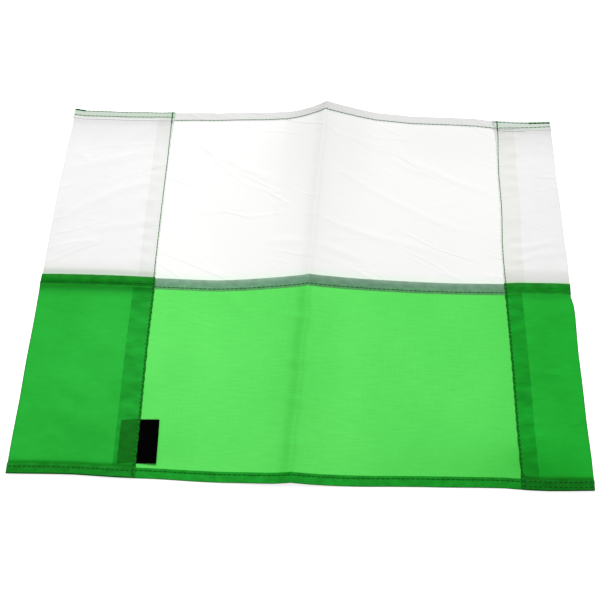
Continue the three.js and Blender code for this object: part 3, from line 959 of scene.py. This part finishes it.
class Tree:
    """A node tree with short words for the nodes that this script uses."""

    def __init__(self, tree):
        self.tree = tree

    def node(self, kind, **settings):
        made = self.tree.nodes.new(kind)
        for key, value in settings.items():
            setattr(made, key, value)
        return made

    def put(self, socket, value):
        if isinstance(value, bpy.types.NodeSocket):
            self.tree.links.new(value, socket)
        else:
            socket.default_value = value

    def named(self, made, **values):
        """Gives a node's inputs their values by name, with a low line for each space."""
        for key, value in values.items():
            self.put(made.inputs[key.replace("_", " ")], value)
        return made.outputs

    def fed(self, kind, *values, **settings):
        """The first output of a new node, with values for its first inputs."""
        made = self.node(kind, **settings)
        for socket, value in zip(made.inputs, values):
            self.put(socket, value)
        return made.outputs[0]

    def math(self, operation, *values, clamp=False):
        return self.fed("ShaderNodeMath", *values, operation=operation, use_clamp=clamp)

    def both(self, first, second):
        return self.math("MULTIPLY", first, second)

    def times(self, value, factor, plus, clamp=False):
        return self.math("MULTIPLY_ADD", value, factor, plus, clamp=clamp)

    def rest(self, value):
        return self.math("SUBTRACT", 1.0, value)

    def waver(self, value, strength, middle=1.0, clamp=False):
        """A value of 0 to 1 turned into one that wavers round the middle given."""
        return self.times(self.math("SUBTRACT", value, 0.5), strength, middle, clamp)

    def blend(self, factor, first, second, mode="MIX"):
        made = self.node("ShaderNodeMix", data_type="RGBA", blend_type=mode)
        for socket, value in zip((made.inputs[0], made.inputs[6], made.inputs[7]), (factor, first, second)):
            self.put(socket, value)
        return made.outputs[2]

    def coated(self, colour, masks, **coats):
        """A colour with others over it, in turn, each where the mask of its name is 1."""
        for key, coat in coats.items():
            colour = self.blend(masks[key.replace("_", " ")], colour, coat)
        return colour

    def shaded(self, colour, shade):
        return self.blend(1.0, colour, shade, "MULTIPLY")

    def toned(self, colour, tone, depths=(1, 1, 1)):
        """A colour made lighter or darker by a factor, more so in the channels with a greater depth."""
        channels = [tone if depth == 1 else self.math("POWER", tone, depth) for depth in depths]
        return self.shaded(colour, self.fed("ShaderNodeCombineColor", *channels))

    def ramp(self, share, stops):
        """The colour at a share of the way through stops, each given as a share and a colour of 0 to 255."""
        made = self.node("ShaderNodeValToRGB")
        band = made.color_ramp.elements
        band[0].position, band[1].position = stops[0][0], stops[-1][0]
        for place, _ in stops[1:-1]:
            band.new(place)
        for element, (_, colour) in zip(band, stops):
            element.color = linear(*colour)
        self.put(made.inputs[0], share)
        return made.outputs[0]

    def attribute(self, name):
        return self.node("ShaderNodeAttribute", attribute_name=name).outputs["Vector"]

    def parts(self, vector):
        made = self.node("ShaderNodeSeparateXYZ")
        self.put(made.inputs[0], vector)
        return made.outputs

    def joined(self, *values):
        return self.fed("ShaderNodeCombineXYZ", *values)

    def scaled(self, vector, scale):
        return self.fed("ShaderNodeVectorMath", vector, scale, operation="MULTIPLY")

    def noise(self, vector, scale, detail=2.0, roughness=0.5):
        made = self.node("ShaderNodeTexNoise")
        return self.named(made, Vector=vector, Scale=scale, Detail=detail, Roughness=roughness)["Fac"]

    def over(self, value, edge, width=SHARP):
        """0 below the edge and 1 above it, over a short width."""
        return self.times(self.math("SUBTRACT", value, edge), 1 / width, 0.5, clamp=True)

    def under(self, value, edge, width=SHARP):
        return self.rest(self.over(value, edge, width))

    def span(self, value, start, end, width=SHARP):
        return self.both(self.over(value, start, width), self.under(value, end, width))

    def use(self, group, **values):
        return self.named(self.node("ShaderNodeGroup", node_tree=group), **values)

    def give(self, **outputs):
        """Ends a node group with its outputs, named like inputs."""
        words = [key.replace("_", " ") for key in outputs]
        for word in words:
            self.tree.interface.new_socket(word, in_out="OUTPUT", socket_type="NodeSocketFloat")
        end = self.node("NodeGroupOutput")
        for word, value in zip(words, outputs.values()):
            self.put(end.inputs[word], value)
        return self.tree


def new_group(name, *inputs):
    """A new shader node group with named inputs. Lay and Flat are vectors, and the rest are numbers."""
    group = bpy.data.node_groups.new(name, "ShaderNodeTree")
    for words in inputs:
        kind = "NodeSocketVector" if words in ("Lay", "Flat") else "NodeSocketFloat"
        group.interface.new_socket(words, in_out="INPUT", socket_type=kind)
    t = Tree(group)
    return t, t.node("NodeGroupInput").outputs


def cloth_stack_group():
    """Which layers of cloth lie on each other at a place, as masks. For the seam, the hems and the painted
    shades beside them it also gives the share of the way across, and it gives masks for the painted shade
    lines along the folded edges."""
    t, given = new_group("cloth_stack", "Lay", "From Crease", "Turn In Left", "Turn In Right")
    past, up, inset = t.parts(given["Lay"])
    right = t.over(given["From Crease"], 0.0, CREASE_SOFTNESS)
    left = t.rest(right)
    sleeve = t.under(past, 0.0)
    width = t.math("ADD", t.both(given["Turn In Left"], left), t.both(given["Turn In Right"], right))
    turned = t.both(sleeve, t.over(past, t.both(width, -1.0), TURNED_SOFTNESS))
    held = t.span(past, -LABEL_HELD, LABEL_PAST_EDGE, LABEL_SOFTNESS)
    leaning = t.times(past, -LABEL_LEAN, up)
    tall = t.span(leaning, LABEL_FROM_BOTTOM, LABEL_FROM_BOTTOM + LABEL_LENGTH, FOLD_SOFTNESS)
    top_hem = t.times(right, FLAP_HEM_RIGHT - FLAP_HEM_LEFT, FLAP_HEM_LEFT - HEM_TOP)
    top_hem = t.times(top_hem, sleeve, HEM_TOP)

    def way(start, length):
        """The share of the way up the flag from one place, over a length, which may be down."""
        return t.times(up, 1 / length, -start / length, clamp=True)

    return t.give(
        Right_Side=right,
        Sleeve=sleeve,
        Turned_Under=turned,
        Label=t.both(t.both(held, tall), left),
        Flap_Edge=t.span(past, -FLAP_EDGE_LINE, FLAP_EDGE_PAST, TURNED_SOFTNESS),
        Outer_Fold=t.under(inset, EDGE_LINE, FOLD_SOFTNESS),
        Lower_Edge=t.under(up, EDGE_LINE, EDGE_LINE),
        Seam=t.span(up, SEAM_BOTTOM, SEAM_TOP),
        Down_Seam=way(SEAM_TOP, -SEAM_DEPTH),
        Over_Seam=way(SEAM_TOP, OVER_SEAM_REACH),
        Under_Seam=way(SEAM_BOTTOM, -UNDER_SEAM_REACH),
        Top_Hem=t.over(t.math("ADD", up, top_hem), FLAG_HEIGHT, TOP_HEM_SOFTNESS),
        Under_Hem=way(FLAG_HEIGHT - FLAP_HEM_LEFT, -UNDER_HEM_REACH),
        Bottom_Hem=t.under(up, HEM_BOTTOM),
        Up_Hem=way(0.0, HEM_BOTTOM),
        Over_Hem=way(HEM_BOTTOM, OVER_HEM_REACH),
    )


def nylon_weave_group():
    """A fine plain weave, with the faint bars that uneven yarns leave."""
    t, given = new_group("nylon_weave", "Flat", "Yarn Pitch", "Bar Length")
    u, v, _ = t.parts(given["Flat"])
    turns = t.math("DIVIDE", math.pi, given["Yarn Pitch"])
    warp, weft = [t.math("SINE", t.both(way, turns)) for way in (u, v)]
    along, fine = [t.math("DIVIDE", count, given["Bar Length"]) for count in (1.0, 12.0)]
    across_bars = t.noise(t.joined(t.both(u, along), t.both(v, fine)), 1.0, 3.0, 0.6)
    upright_bars = t.noise(t.joined(t.both(u, fine), t.both(v, along)), 1.0, 3.0, 0.6)
    return t.give(
        Height=t.times(t.both(warp, weft), 0.5, 0.5),
        Bars=t.times(across_bars, 0.7, t.both(upright_bars, 0.3)),
    )


def crease_painted_shade_group():
    """A painted shade along the crease, broad on both sides, with a painted dark line by a painted light
    one, and a painted shade that deepens to the right.
    """
    t, given = new_group("crease_painted_shade", "From Crease", "Up", "Broad", "Line", "Far Right")
    from_crease = given["From Crease"]
    wander = t.node("ShaderNodeTexNoise", noise_dimensions="1D")
    t.named(wander, W=t.both(given["Up"], 1 / CREASE_WANDER_LENGTH), Scale=1.0, Detail=3.0)
    stray = t.math("SUBTRACT", wander.outputs["Fac"], 0.5)
    line_at = t.times(stray, CREASE_WANDER, from_crease)
    line = t.both(given["Line"], t.times(stray, 2.4, 1.0, clamp=True))
    distance = t.math("ABSOLUTE", from_crease)
    broad = t.math("EXPONENT", t.both(distance, -1 / CREASE_SHADE_REACH))
    tone = t.rest(t.both(broad, given["Broad"]))
    for (middle, half_width), strength in zip(CREASE_LINES, CREASE_LINE_STRENGTHS):
        offset = t.times(line_at, 1 / half_width, -middle / half_width)
        bell = t.math("EXPONENT", t.both(t.both(offset, offset), -1.0))
        tone = t.times(bell, t.both(line, strength), tone)
    far = t.math("MULTIPLY", from_crease, 1 / FAR_RIGHT, clamp=True)
    return t.give(Tone=t.math("SUBTRACT", tone, t.both(far, given["Far Right"])))


def long_wrinkles_group():
    """Thin, nearly straight wrinkles that run one way, in patches."""
    t, given = new_group("long_wrinkles", "From Crease", "Up", "Slope", "Shown")
    across, up, slope = [given[words] for words in ("From Crease", "Up", "Slope")]
    along = t.times(slope, up, across)
    aside = t.math("SUBTRACT", up, t.both(slope, across))
    place = t.joined(t.both(along, 1 / WRINKLE_LENGTH), t.both(aside, 1 / WRINKLE_SPACING), slope)
    near = t.math("ABSOLUTE", t.math("SUBTRACT", t.noise(place, 1.0, 1.0, 0.4), 0.5))
    line = t.math("POWER", t.rest(t.math("MULTIPLY", near, 16.0, clamp=True)), 1.6)
    patch = t.waver(t.noise(place, 0.62, 0.0), 5.0, given["Shown"], clamp=True)
    return t.give(Height=t.both(line, patch))


def crumple_group():
    """Faint facets with soft creases between them, as thin cloth keeps from lying folded."""
    t, given = new_group("crumple", "Flat", "Size", "Spread")
    per_size = t.math("DIVIDE", 1.0, given["Size"])
    u, v, _ = t.parts(given["Flat"])
    place = t.joined(t.both(u, per_size), t.both(v, t.both(per_size, 2.2)))
    bend = t.named(t.node("ShaderNodeTexNoise"), Vector=place, Scale=1.4, Detail=2.0)["Color"]
    bent = t.fed("ShaderNodeVectorMath", bend, (0.9, 0.9, 0.0), place, operation="MULTIPLY_ADD")
    cells = t.node("ShaderNodeTexVoronoi", feature="DISTANCE_TO_EDGE")
    from_edge = t.named(cells, Vector=bent, Scale=1.0)["Distance"]
    crease = t.math("POWER", t.rest(t.math("MULTIPLY", from_edge, 6.0, clamp=True)), 2.0)
    patch = t.noise(t.scaled(given["Flat"], (1, 1, 0)), t.math("DIVIDE", 0.4, given["Size"]), 1.0)
    return t.give(Height=t.both(crease, t.waver(patch, given["Spread"], 0.35, clamp=True)))


def soft_clouds_group():
    """A slow unevenness of tone, as light through loosely lying cloth has."""
    t, given = new_group("soft_clouds", "Flat", "Size")
    return t.give(Tone=t.noise(given["Flat"], t.math("DIVIDE", 1.0, given["Size"]), 2.0, 0.45))


def soft_shade_group():
    """A broad soft painted shade round one place, or a painted light there where its depth is below 0."""
    ways = (("From Crease", "Middle Across", "Reach Across"), ("Up", "Middle Up", "Reach Up"))
    t, given = new_group("soft_shade", *ways[0], *ways[1], "Depth")
    away = []
    for place, middle, reach in ways:
        offset = t.math("DIVIDE", t.math("SUBTRACT", given[place], given[middle]), given[reach])
        away.append(t.both(offset, offset))
    shade = t.math("EXPONENT", t.both(t.math("ADD", *away), -1.0))
    return t.give(Tone=t.rest(t.both(shade, given["Depth"])))


def linear(red, green, blue):
    """A colour from its 0 to 255 values, as the shader wants it."""
    made = []
    for value in (red, green, blue):
        share = value / 255
        made.append(share / 12.92 if share <= 0.04045 else ((share + 0.055) / 1.055) ** 2.4)
    return (*made, 1.0)


def new_material(name):
    """A material with its tree and its shader."""
    material = bpy.data.materials.new(name)
    material.use_nodes = True
    return material, Tree(material.node_tree), material.node_tree.nodes["Principled BSDF"]


def finished(name, roughness, specular, build):
    """A material whose colour and reliefs come from build(tree). A relief is a height and its depth."""
    material, t, shader = new_material(name)
    colour, *reliefs = build(t)
    t.put(shader.inputs["Base Color"], colour)
    shader.inputs["Roughness"].default_value = roughness
    shader.inputs["Specular IOR Level"].default_value = specular
    normal = None
    for height, depth in reliefs:
        bump = t.node("ShaderNodeBump")
        t.named(bump, Strength=1.0, Distance=depth, Height=height)
        if normal:
            t.put(bump.inputs["Normal"], normal)
        normal = bump.outputs["Normal"]
    t.put(shader.inputs["Normal"], normal)
    return material


cloth_stack = cloth_stack_group()
nylon_weave = nylon_weave_group()
soft_clouds = soft_clouds_group()
crumple = crumple_group()
crease_painted_shade = crease_painted_shade_group()
long_wrinkles = long_wrinkles_group()
soft_shade = soft_shade_group()


def clouds_on(t, place, stretch, size):
    return t.use(soft_clouds, Flat=t.scaled(place, stretch), Size=size)["Tone"]


def nylon(t, colour, paint, bars, clouds, wrinkle_depth, crumple_depth, crease, channel_depths, painted_shades):
    """What both nylons share: layer masks, yarn bars, clouds, weave and crumples. paint gives the colour."""
    flat, lay = t.attribute("flat"), t.attribute("lay")
    place = {"From_Crease": t.parts(flat)[2], "Up": t.parts(lay)[1]}
    masks = t.use(
        cloth_stack,
        Lay=lay,
        From_Crease=place["From_Crease"],
        Turn_In_Left=wide.turn_in[colour],
        Turn_In_Right=narrow.turn_in[colour],
    )
    weave = t.use(nylon_weave, Flat=flat, Yarn_Pitch=WEAVE_PITCH, Bar_Length=BAR_LENGTH)
    tone = t.waver(weave["Bars"], bars)
    tone = t.waver(t.use(soft_clouds, Flat=flat, Size=CLOUD_SIZE)["Tone"], clouds, tone)
    # Painted shade and light along the crease, and a painted shade that deepens to the right.
    tone = t.both(tone, t.use(crease_painted_shade, **place, **crease)["Tone"])
    # The flaps lie loose, so their tone wavers more, in long clouds and in fine ones.
    long_clouds = clouds_on(t, lay, (0.5, 1.0, 0.5), LONG_CLOUD_SIZE)
    tone = t.waver(long_clouds, t.both(masks["Sleeve"], 1.6 * clouds), tone)
    fine_clouds = clouds_on(t, lay, (0.4, 1.0, 0.5), FINE_CLOUD_SIZE)
    tone = t.waver(fine_clouds, t.both(masks["Sleeve"], 0.04 + 0.6 * clouds), tone)
    # Soft patches of painted shade, and of painted light where the depth is below 0.
    for *spots, depth in painted_shades:
        names = ("Middle_Across", "Middle_Up", "Reach_Across", "Reach_Up")
        spot = {name: value * MM for name, value in zip(names, spots)}
        tone = t.both(tone, t.use(soft_shade, **place, **spot, Depth=depth)["Tone"])
    painted = t.toned(paint(t, masks, lay), tone, channel_depths)
    folds = t.use(crumple, Flat=flat, Size=CRUMPLE_SIZE, Spread=5.0)
    slope = t.times(masks["Sleeve"], SLEEVE_WRINKLE_SLOPE - WRINKLE_SLOPE, WRINKLE_SLOPE)
    wrinkles = t.use(long_wrinkles, **place, Slope=slope, Shown=0.45)
    reliefs = (wrinkles["Height"], wrinkle_depth), (folds["Height"], crumple_depth)
    return painted, *reliefs, (weave["Height"], WEAVE_DEPTH)


def mottled(t, lay, colour, strength):
    """A colour that wavers in small patches, for cloth that was pulled while it was sewn."""
    return t.toned(colour, t.waver(clouds_on(t, lay, (1, 1.6, 0), MOTTLE_SIZE), strength))


def by_side(t, masks, left, right, band=None):
    """One colour left of the crease and one right of it. Across a band, each is given as its stops."""
    colours = [t.ramp(masks[band], given) if band else linear(*given) for given in (left, right)]
    return t.blend(masks["Right Side"], *colours)


def darker_right(t, masks, drop):
    return t.times(masks["Right Side"], -drop, 1.0)


def white_paint(t, masks, lay):
    """White nylon, greyer where more layers lie together, and tinted where green shows through. Along the top
    of the seam lies a pale green painted glow, with painted shade above it on the flaps; on the flaps painted
    shade also lies under the top hem, and a painted shade line runs along the outer folds.
    """
    on_sleeve = masks["Sleeve"]
    colour = t.coated(
        by_side(t, masks, (254, 254, 253), (251, 251, 250)),
        masks,
        Sleeve=by_side(t, masks, (248, 247, 247), (245, 244, 244)),
        Turned_Under=by_side(t, masks, (240, 241, 238), (238, 239, 235)),
    )
    # Painted glow and painted shade over the seam, and painted shade under the top hem on the flaps.
    over_seam = by_side(t, masks, OVER_SEAM_LEFT, OVER_SEAM_RIGHT, "Over Seam")
    colour = t.shaded(colour, t.blend(on_sleeve, t.ramp(masks["Over Seam"], OVER_SEAM), over_seam))
    colour = t.shaded(colour, t.blend(on_sleeve, UNSHADED, t.ramp(masks["Under Hem"], UNDER_HEM)))
    hem_on_flaps = by_side(t, masks, (200, 212, 200), (209, 219, 210))
    strip = t.toned(t.ramp(masks["Down Seam"], SEAM_ON_WHITE), darker_right(t, masks, 0.13))
    return t.coated(
        colour,
        masks,
        Top_Hem=t.blend(on_sleeve, linear(228, 228, 227), hem_on_flaps),
        Seam=mottled(t, lay, strip, 0.7),
        # A painted shade line along the outer folds.
        Outer_Fold=linear(226, 228, 227),
    )


def green_paint(t, masks, lay):
    """Green nylon, deeper where more layers lie together, and darkest over the label's hidden end.
    On the flaps painted shade lies under the seam and over the bottom hem, and painted shade lines run along
    the flaps' folded edges, the bottom edge and the outer folds.
    """
    on_sleeve = masks["Sleeve"]
    tucks = t.waver(clouds_on(t, lay, (0.45, 1.0, 0), TUCK_SHADE_SIZE), 0.8)
    colour = t.coated(
        linear(99, 232, 100),
        masks,
        Sleeve=by_side(t, masks, (39, 181, 56), (35, 186, 56)),
        Turned_Under=t.toned(by_side(t, masks, (25, 160, 44), (18, 163, 41)), tucks, (1.6, 1, 1.5)),
        Label=mottled(t, lay, linear(12, 111, 19), 0.5),
    )
    # Painted shade under the seam and over the bottom hem, on the flaps.
    under_seam = by_side(t, masks, UNDER_SEAM_LEFT, UNDER_SEAM_RIGHT, "Under Seam")
    shade = t.shaded(under_seam, t.ramp(masks["Over Hem"], OVER_HEM))
    colour = t.shaded(colour, t.blend(on_sleeve, UNSHADED, shade))
    on_flaps = t.toned(t.ramp(masks["Up Hem"], HEM_ON_FLAPS), darker_right(t, masks, 0.12), (2.5, 1, 1.5))
    hem = t.blend(on_sleeve, t.ramp(masks["Up Hem"], HEM_ON_GREEN), on_flaps)
    strip = by_side(t, masks, SEAM_ON_LEFT_FLAP, SEAM_ON_RIGHT_FLAP, "Down Seam")
    return t.coated(
        colour,
        masks,
        # Painted shade lines along the flaps' folded edges, the bottom edge and the outer folds.
        Flap_Edge=linear(6, 120, 16),
        Bottom_Hem=mottled(t, lay, hem, 0.9),
        Seam=mottled(t, lay, strip, 0.8),
        Lower_Edge=linear(14, 104, 26),
        Outer_Fold=linear(20, 118, 34),
    )


def thread_build(t):
    """Spun thread, dark green with the slant of its plies, and painted pale where the needle thread does not
    show: a painted light along the row.
    """
    flat = t.attribute("flat")
    along, angle, shown = t.parts(flat)
    twist = t.math("SINE", t.math("ADD", t.both(along, 2 * math.pi / PLY_PITCH), angle))
    height = t.times(twist, 0.5, 0.5)
    fuzz = t.noise(t.scaled(flat, (1.0, 0.0002, 0.0)), 900.0, 2.0)
    share = t.times(fuzz, 0.5, t.both(height, 0.35))
    needle_thread = t.blend(share, linear(0, 88, 8), linear(8, 122, 24))
    # The pale green is a painted light, where the needle thread does not show.
    return t.blend(shown, linear(64, 156, 78), needle_thread), (height, PLY_DEPTH)


def label_build(t):
    """Black satin ribbon with a fine cross rib and bound edges."""
    flat = t.attribute("flat")
    far, up, _ = t.parts(flat)
    rib = t.math("SINE", t.both(up, 2 * math.pi / RIB_PITCH))
    yarn = t.math("SINE", t.both(far, 2 * math.pi / RIBBON_YARN_PITCH))
    height = t.times(t.times(yarn, 0.3, rib), 0.38, 0.5)
    middle = t.span(up, LABEL_FROM_BOTTOM + BOUND_EDGE, LABEL_FROM_BOTTOM + LABEL_LENGTH - BOUND_EDGE)
    dust = t.noise(t.scaled(flat, (260.0, 900.0, 1.0)), 1.0, 3.0)
    ribbon = t.blend(middle, linear(4, 4, 4), linear(0, 0, 0))
    return t.blend(t.both(dust, 0.2), ribbon, linear(11, 11, 12)), (height, RIB_DEPTH)


# Camera, light and floor


def placed(name, data):
    """A camera or a lamp, put in the scene."""
    made = bpy.data.objects.new(name, data)
    bpy.context.scene.collection.objects.link(made)
    return made


def make_camera():
    """The view from the near side, looking down on the flag."""
    data = bpy.data.cameras.new("camera")
    data.sensor_width = CAMERA_SENSOR
    data.lens = CAMERA_LENS
    camera = placed("camera", data)
    yaw, tilt, roll = [Matrix.Rotation(math.radians(angle), 4, axis) for angle, axis in CAMERA_TURNS]
    camera.matrix_world = Matrix.Translation(CAMERA_PLACE) @ (yaw @ tilt) @ roll
    bpy.context.scene.camera = camera


def make_light():
    """A large soft lamp overhead and an even white surround."""
    data = bpy.data.lights.new("overhead", "AREA")
    data.shape = "SQUARE"
    data.size = LAMP_SIZE
    data.energy = LAMP_POWER
    lamp = placed("overhead", data)
    lamp.location = LAMP_PLACE
    lamp.rotation_mode = "QUATERNION"
    lamp.rotation_quaternion = lamp.location.to_track_quat("Z", "Y")
    world = bpy.data.worlds.new("surround")
    world.use_nodes = True
    bpy.context.scene.world = world
    t = Tree(world.node_tree)
    path = t.node("ShaderNodeLightPath").outputs
    seen = t.math("MAXIMUM", path["Is Camera Ray"], path["Is Glossy Ray"])
    seen = t.math("MAXIMUM", seen, path["Is Transmission Ray"])
    strength = t.times(seen, 1.0 - SURROUND_LIGHT, SURROUND_LIGHT)
    t.named(world.node_tree.nodes["Background"], Color=(1, 1, 1, 1), Strength=strength)


def make_floor():
    """A plain pale floor that keeps the flag's shadow."""
    material, t, shader = new_material("floor")
    seen = t.node("ShaderNodeLightPath").outputs["Is Camera Ray"]
    shader.inputs["Base Color"].default_value = (0.9, 0.9, 0.9, 1)
    shader.inputs["Roughness"].default_value = 0.9
    shader.inputs["Specular IOR Level"].default_value = 0.0
    shader.inputs["Emission Color"].default_value = (1, 1, 1, 1)
    t.put(shader.inputs["Emission Strength"], t.both(seen, FLOOR_GLOW))
    corners = FLOOR_SIZE * np.array([(-1, -1, 0), (1, -1, 0), (1, 1, 0), (-1, 1, 0)])
    floor = mesh_object("floor", corners, [(0, 1, 2, 3)], {}, material)
    return floor


# The whole flag

make_camera()
make_light()
floor = make_floor()
bpy.context.scene.view_settings.view_transform = "Standard"

white_nylon = finished("white_nylon", 0.6, 0.1, lambda t: nylon(t, "white", white_paint, **WHITE_FINISH))
green_nylon = finished("green_nylon", 0.55, 0.04, lambda t: nylon(t, "green", green_paint, **GREEN_FINISH))
green_thread = finished("green_thread", 0.7, 0.1, thread_build)
black_satin = finished("black_satin", 0.5, 0.005, label_build)

white = Panel("white", white_section())
green = Panel("green", green_section())
white_panel = panel_piece("white_panel", white, white_nylon)
green_panel = panel_piece("green_panel", green, green_nylon)


def row_piece(name, panel, up, on_flaps, front_level, behind_level, tones, flap_tones, more=()):
    """A row across the whole flag: its needle side in the middle, and its bobbin side behind and on the
    flaps, where it may lie at other heights."""
    strands = [
        cross_strand(panel, up, front_level, ("ground",), UNDER_FLAP, tones),
        cross_strand(panel, up, -behind_level, ("outer", "ground"), FLAG_WIDTH, tones),
    ]
    for side, heights in zip(SIDES, on_flaps):
        strands.append(flap_strand(panel, side.hand, heights, FLAP_THREAD_RADIUS, flap_tones))
    return thread_piece(name, green_thread, [*strands, *more])


def from_top(downs):
    """Heights up the flag from distances down from its top."""
    return [FLAG_HEIGHT - down for down in downs]


def joint_named(name):
    return next(joint for joint in frame["joints"] if joint["name"] == name)


top_up = FLAG_HEIGHT - HEM_TOP + TOP_INSET
top_on_flaps = [from_top(downs) for downs in TOP_ROWS]
top_stitches = row_piece(
    "top_hem_stitches", white, top_up, top_on_flaps, FACE_OUT, HEM_OUT, PALE_GAPS, FAINT_GAPS
)
seam_up = SEAM_BOTTOM + SEAM_INSET
seam_on_flaps = [(seam_up - drop, seam_up - drop) for drop in SEAM_ROW_DROPS]
seam_stitches = row_piece(
    "middle_seam_stitches", white, seam_up, seam_on_flaps, LAP_OUT, LAP_OUT, PALE_GAPS, BOBBIN_SIDE
)
bottom_up = HEM_BOTTOM - BOTTOM_INSET
low_row = flap_strand(green, narrow.hand, LOW_ROW, FLAP_THREAD_RADIUS, FAINT_GAPS)
bottom_stitches = row_piece(
    "bottom_hem_stitches", green, bottom_up, BOTTOM_ROWS, FACE_OUT, HEM_OUT, FAINT_GAPS, PLAIN_GAPS, [low_row]
)

hinge = joint_named("centre_fold")
crest_line = Vector(hinge["axis"]).normalized()
square_to_crest = crest_line.cross(Vector((0, 0, 1))).normalized()
if square_to_crest.x < 0:
    square_to_crest = -square_to_crest
for piece, slot_name, nodes in (
    (white_panel, "white_nylon", ("white_panel_left", "white_panel_right")),
    (green_panel, "green_nylon", ("green_panel_left", "green_panel_right")),
    (top_stitches, "sewing_thread", ("top_hem_thread_left", "top_hem_thread_right")),
    (seam_stitches, "sewing_thread", ("middle_seam_thread_left", "middle_seam_thread_right")),
    (bottom_stitches, "sewing_thread", ("bottom_hem_thread_left", "bottom_hem_thread_right")),
):
    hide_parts(*nodes)
    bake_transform(piece)

for side, name, node, body_name, tones in (
    (wide, "wide_sleeve_stitches", "wide_sleeve_thread", "left_half", PALE_GAPS),
    (narrow, "narrow_sleeve_stitches", "narrow_sleeve_thread", "right_half", PLAIN_GAPS),
):
    strands = [sleeve_strand(side, True, tones), sleeve_strand(side, False, tones)]
    strands += [sleeve_strand(side, True, FAINT_GAPS, start, end, aside) for start, end, aside in TACKS]
    row = thread_piece(name, green_thread, strands)
    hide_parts(node)
    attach(row, body_name)

for side, name, body_name, downs, tack in zip(
    SIDES, ("left", "right"), ("left_half", "right_half"), EDGE_ROWS, TACK_SHARES
):
    strands = [flap_strand(white, side.hand, from_top(downs), FLAP_THREAD_RADIUS, FAINT_GAPS)]
    for aside in (TACK_ASIDE, -TACK_ASIDE):
        beside = from_top(down + aside for down in downs)
        strands.append(flap_strand(white, side.hand, beside, SLACK_THREAD_RADIUS, CLOSE_STITCHES, end=tack))
    if side is narrow:
        heights = from_top((FAINT_ROW_DOWN, FAINT_ROW_DOWN))
        strands.append(
            flap_strand(white, side.hand, heights, FAINT_THREAD_RADIUS, CLOSE_STITCHES, *FAINT_ROW_SHARES)
        )
    row = thread_piece("top_edge_stitches_" + name, green_thread, strands)
    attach(row, body_name)

label = label_piece(black_satin)
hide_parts("woven_label_tab", "woven_label_held_end")
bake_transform(label)
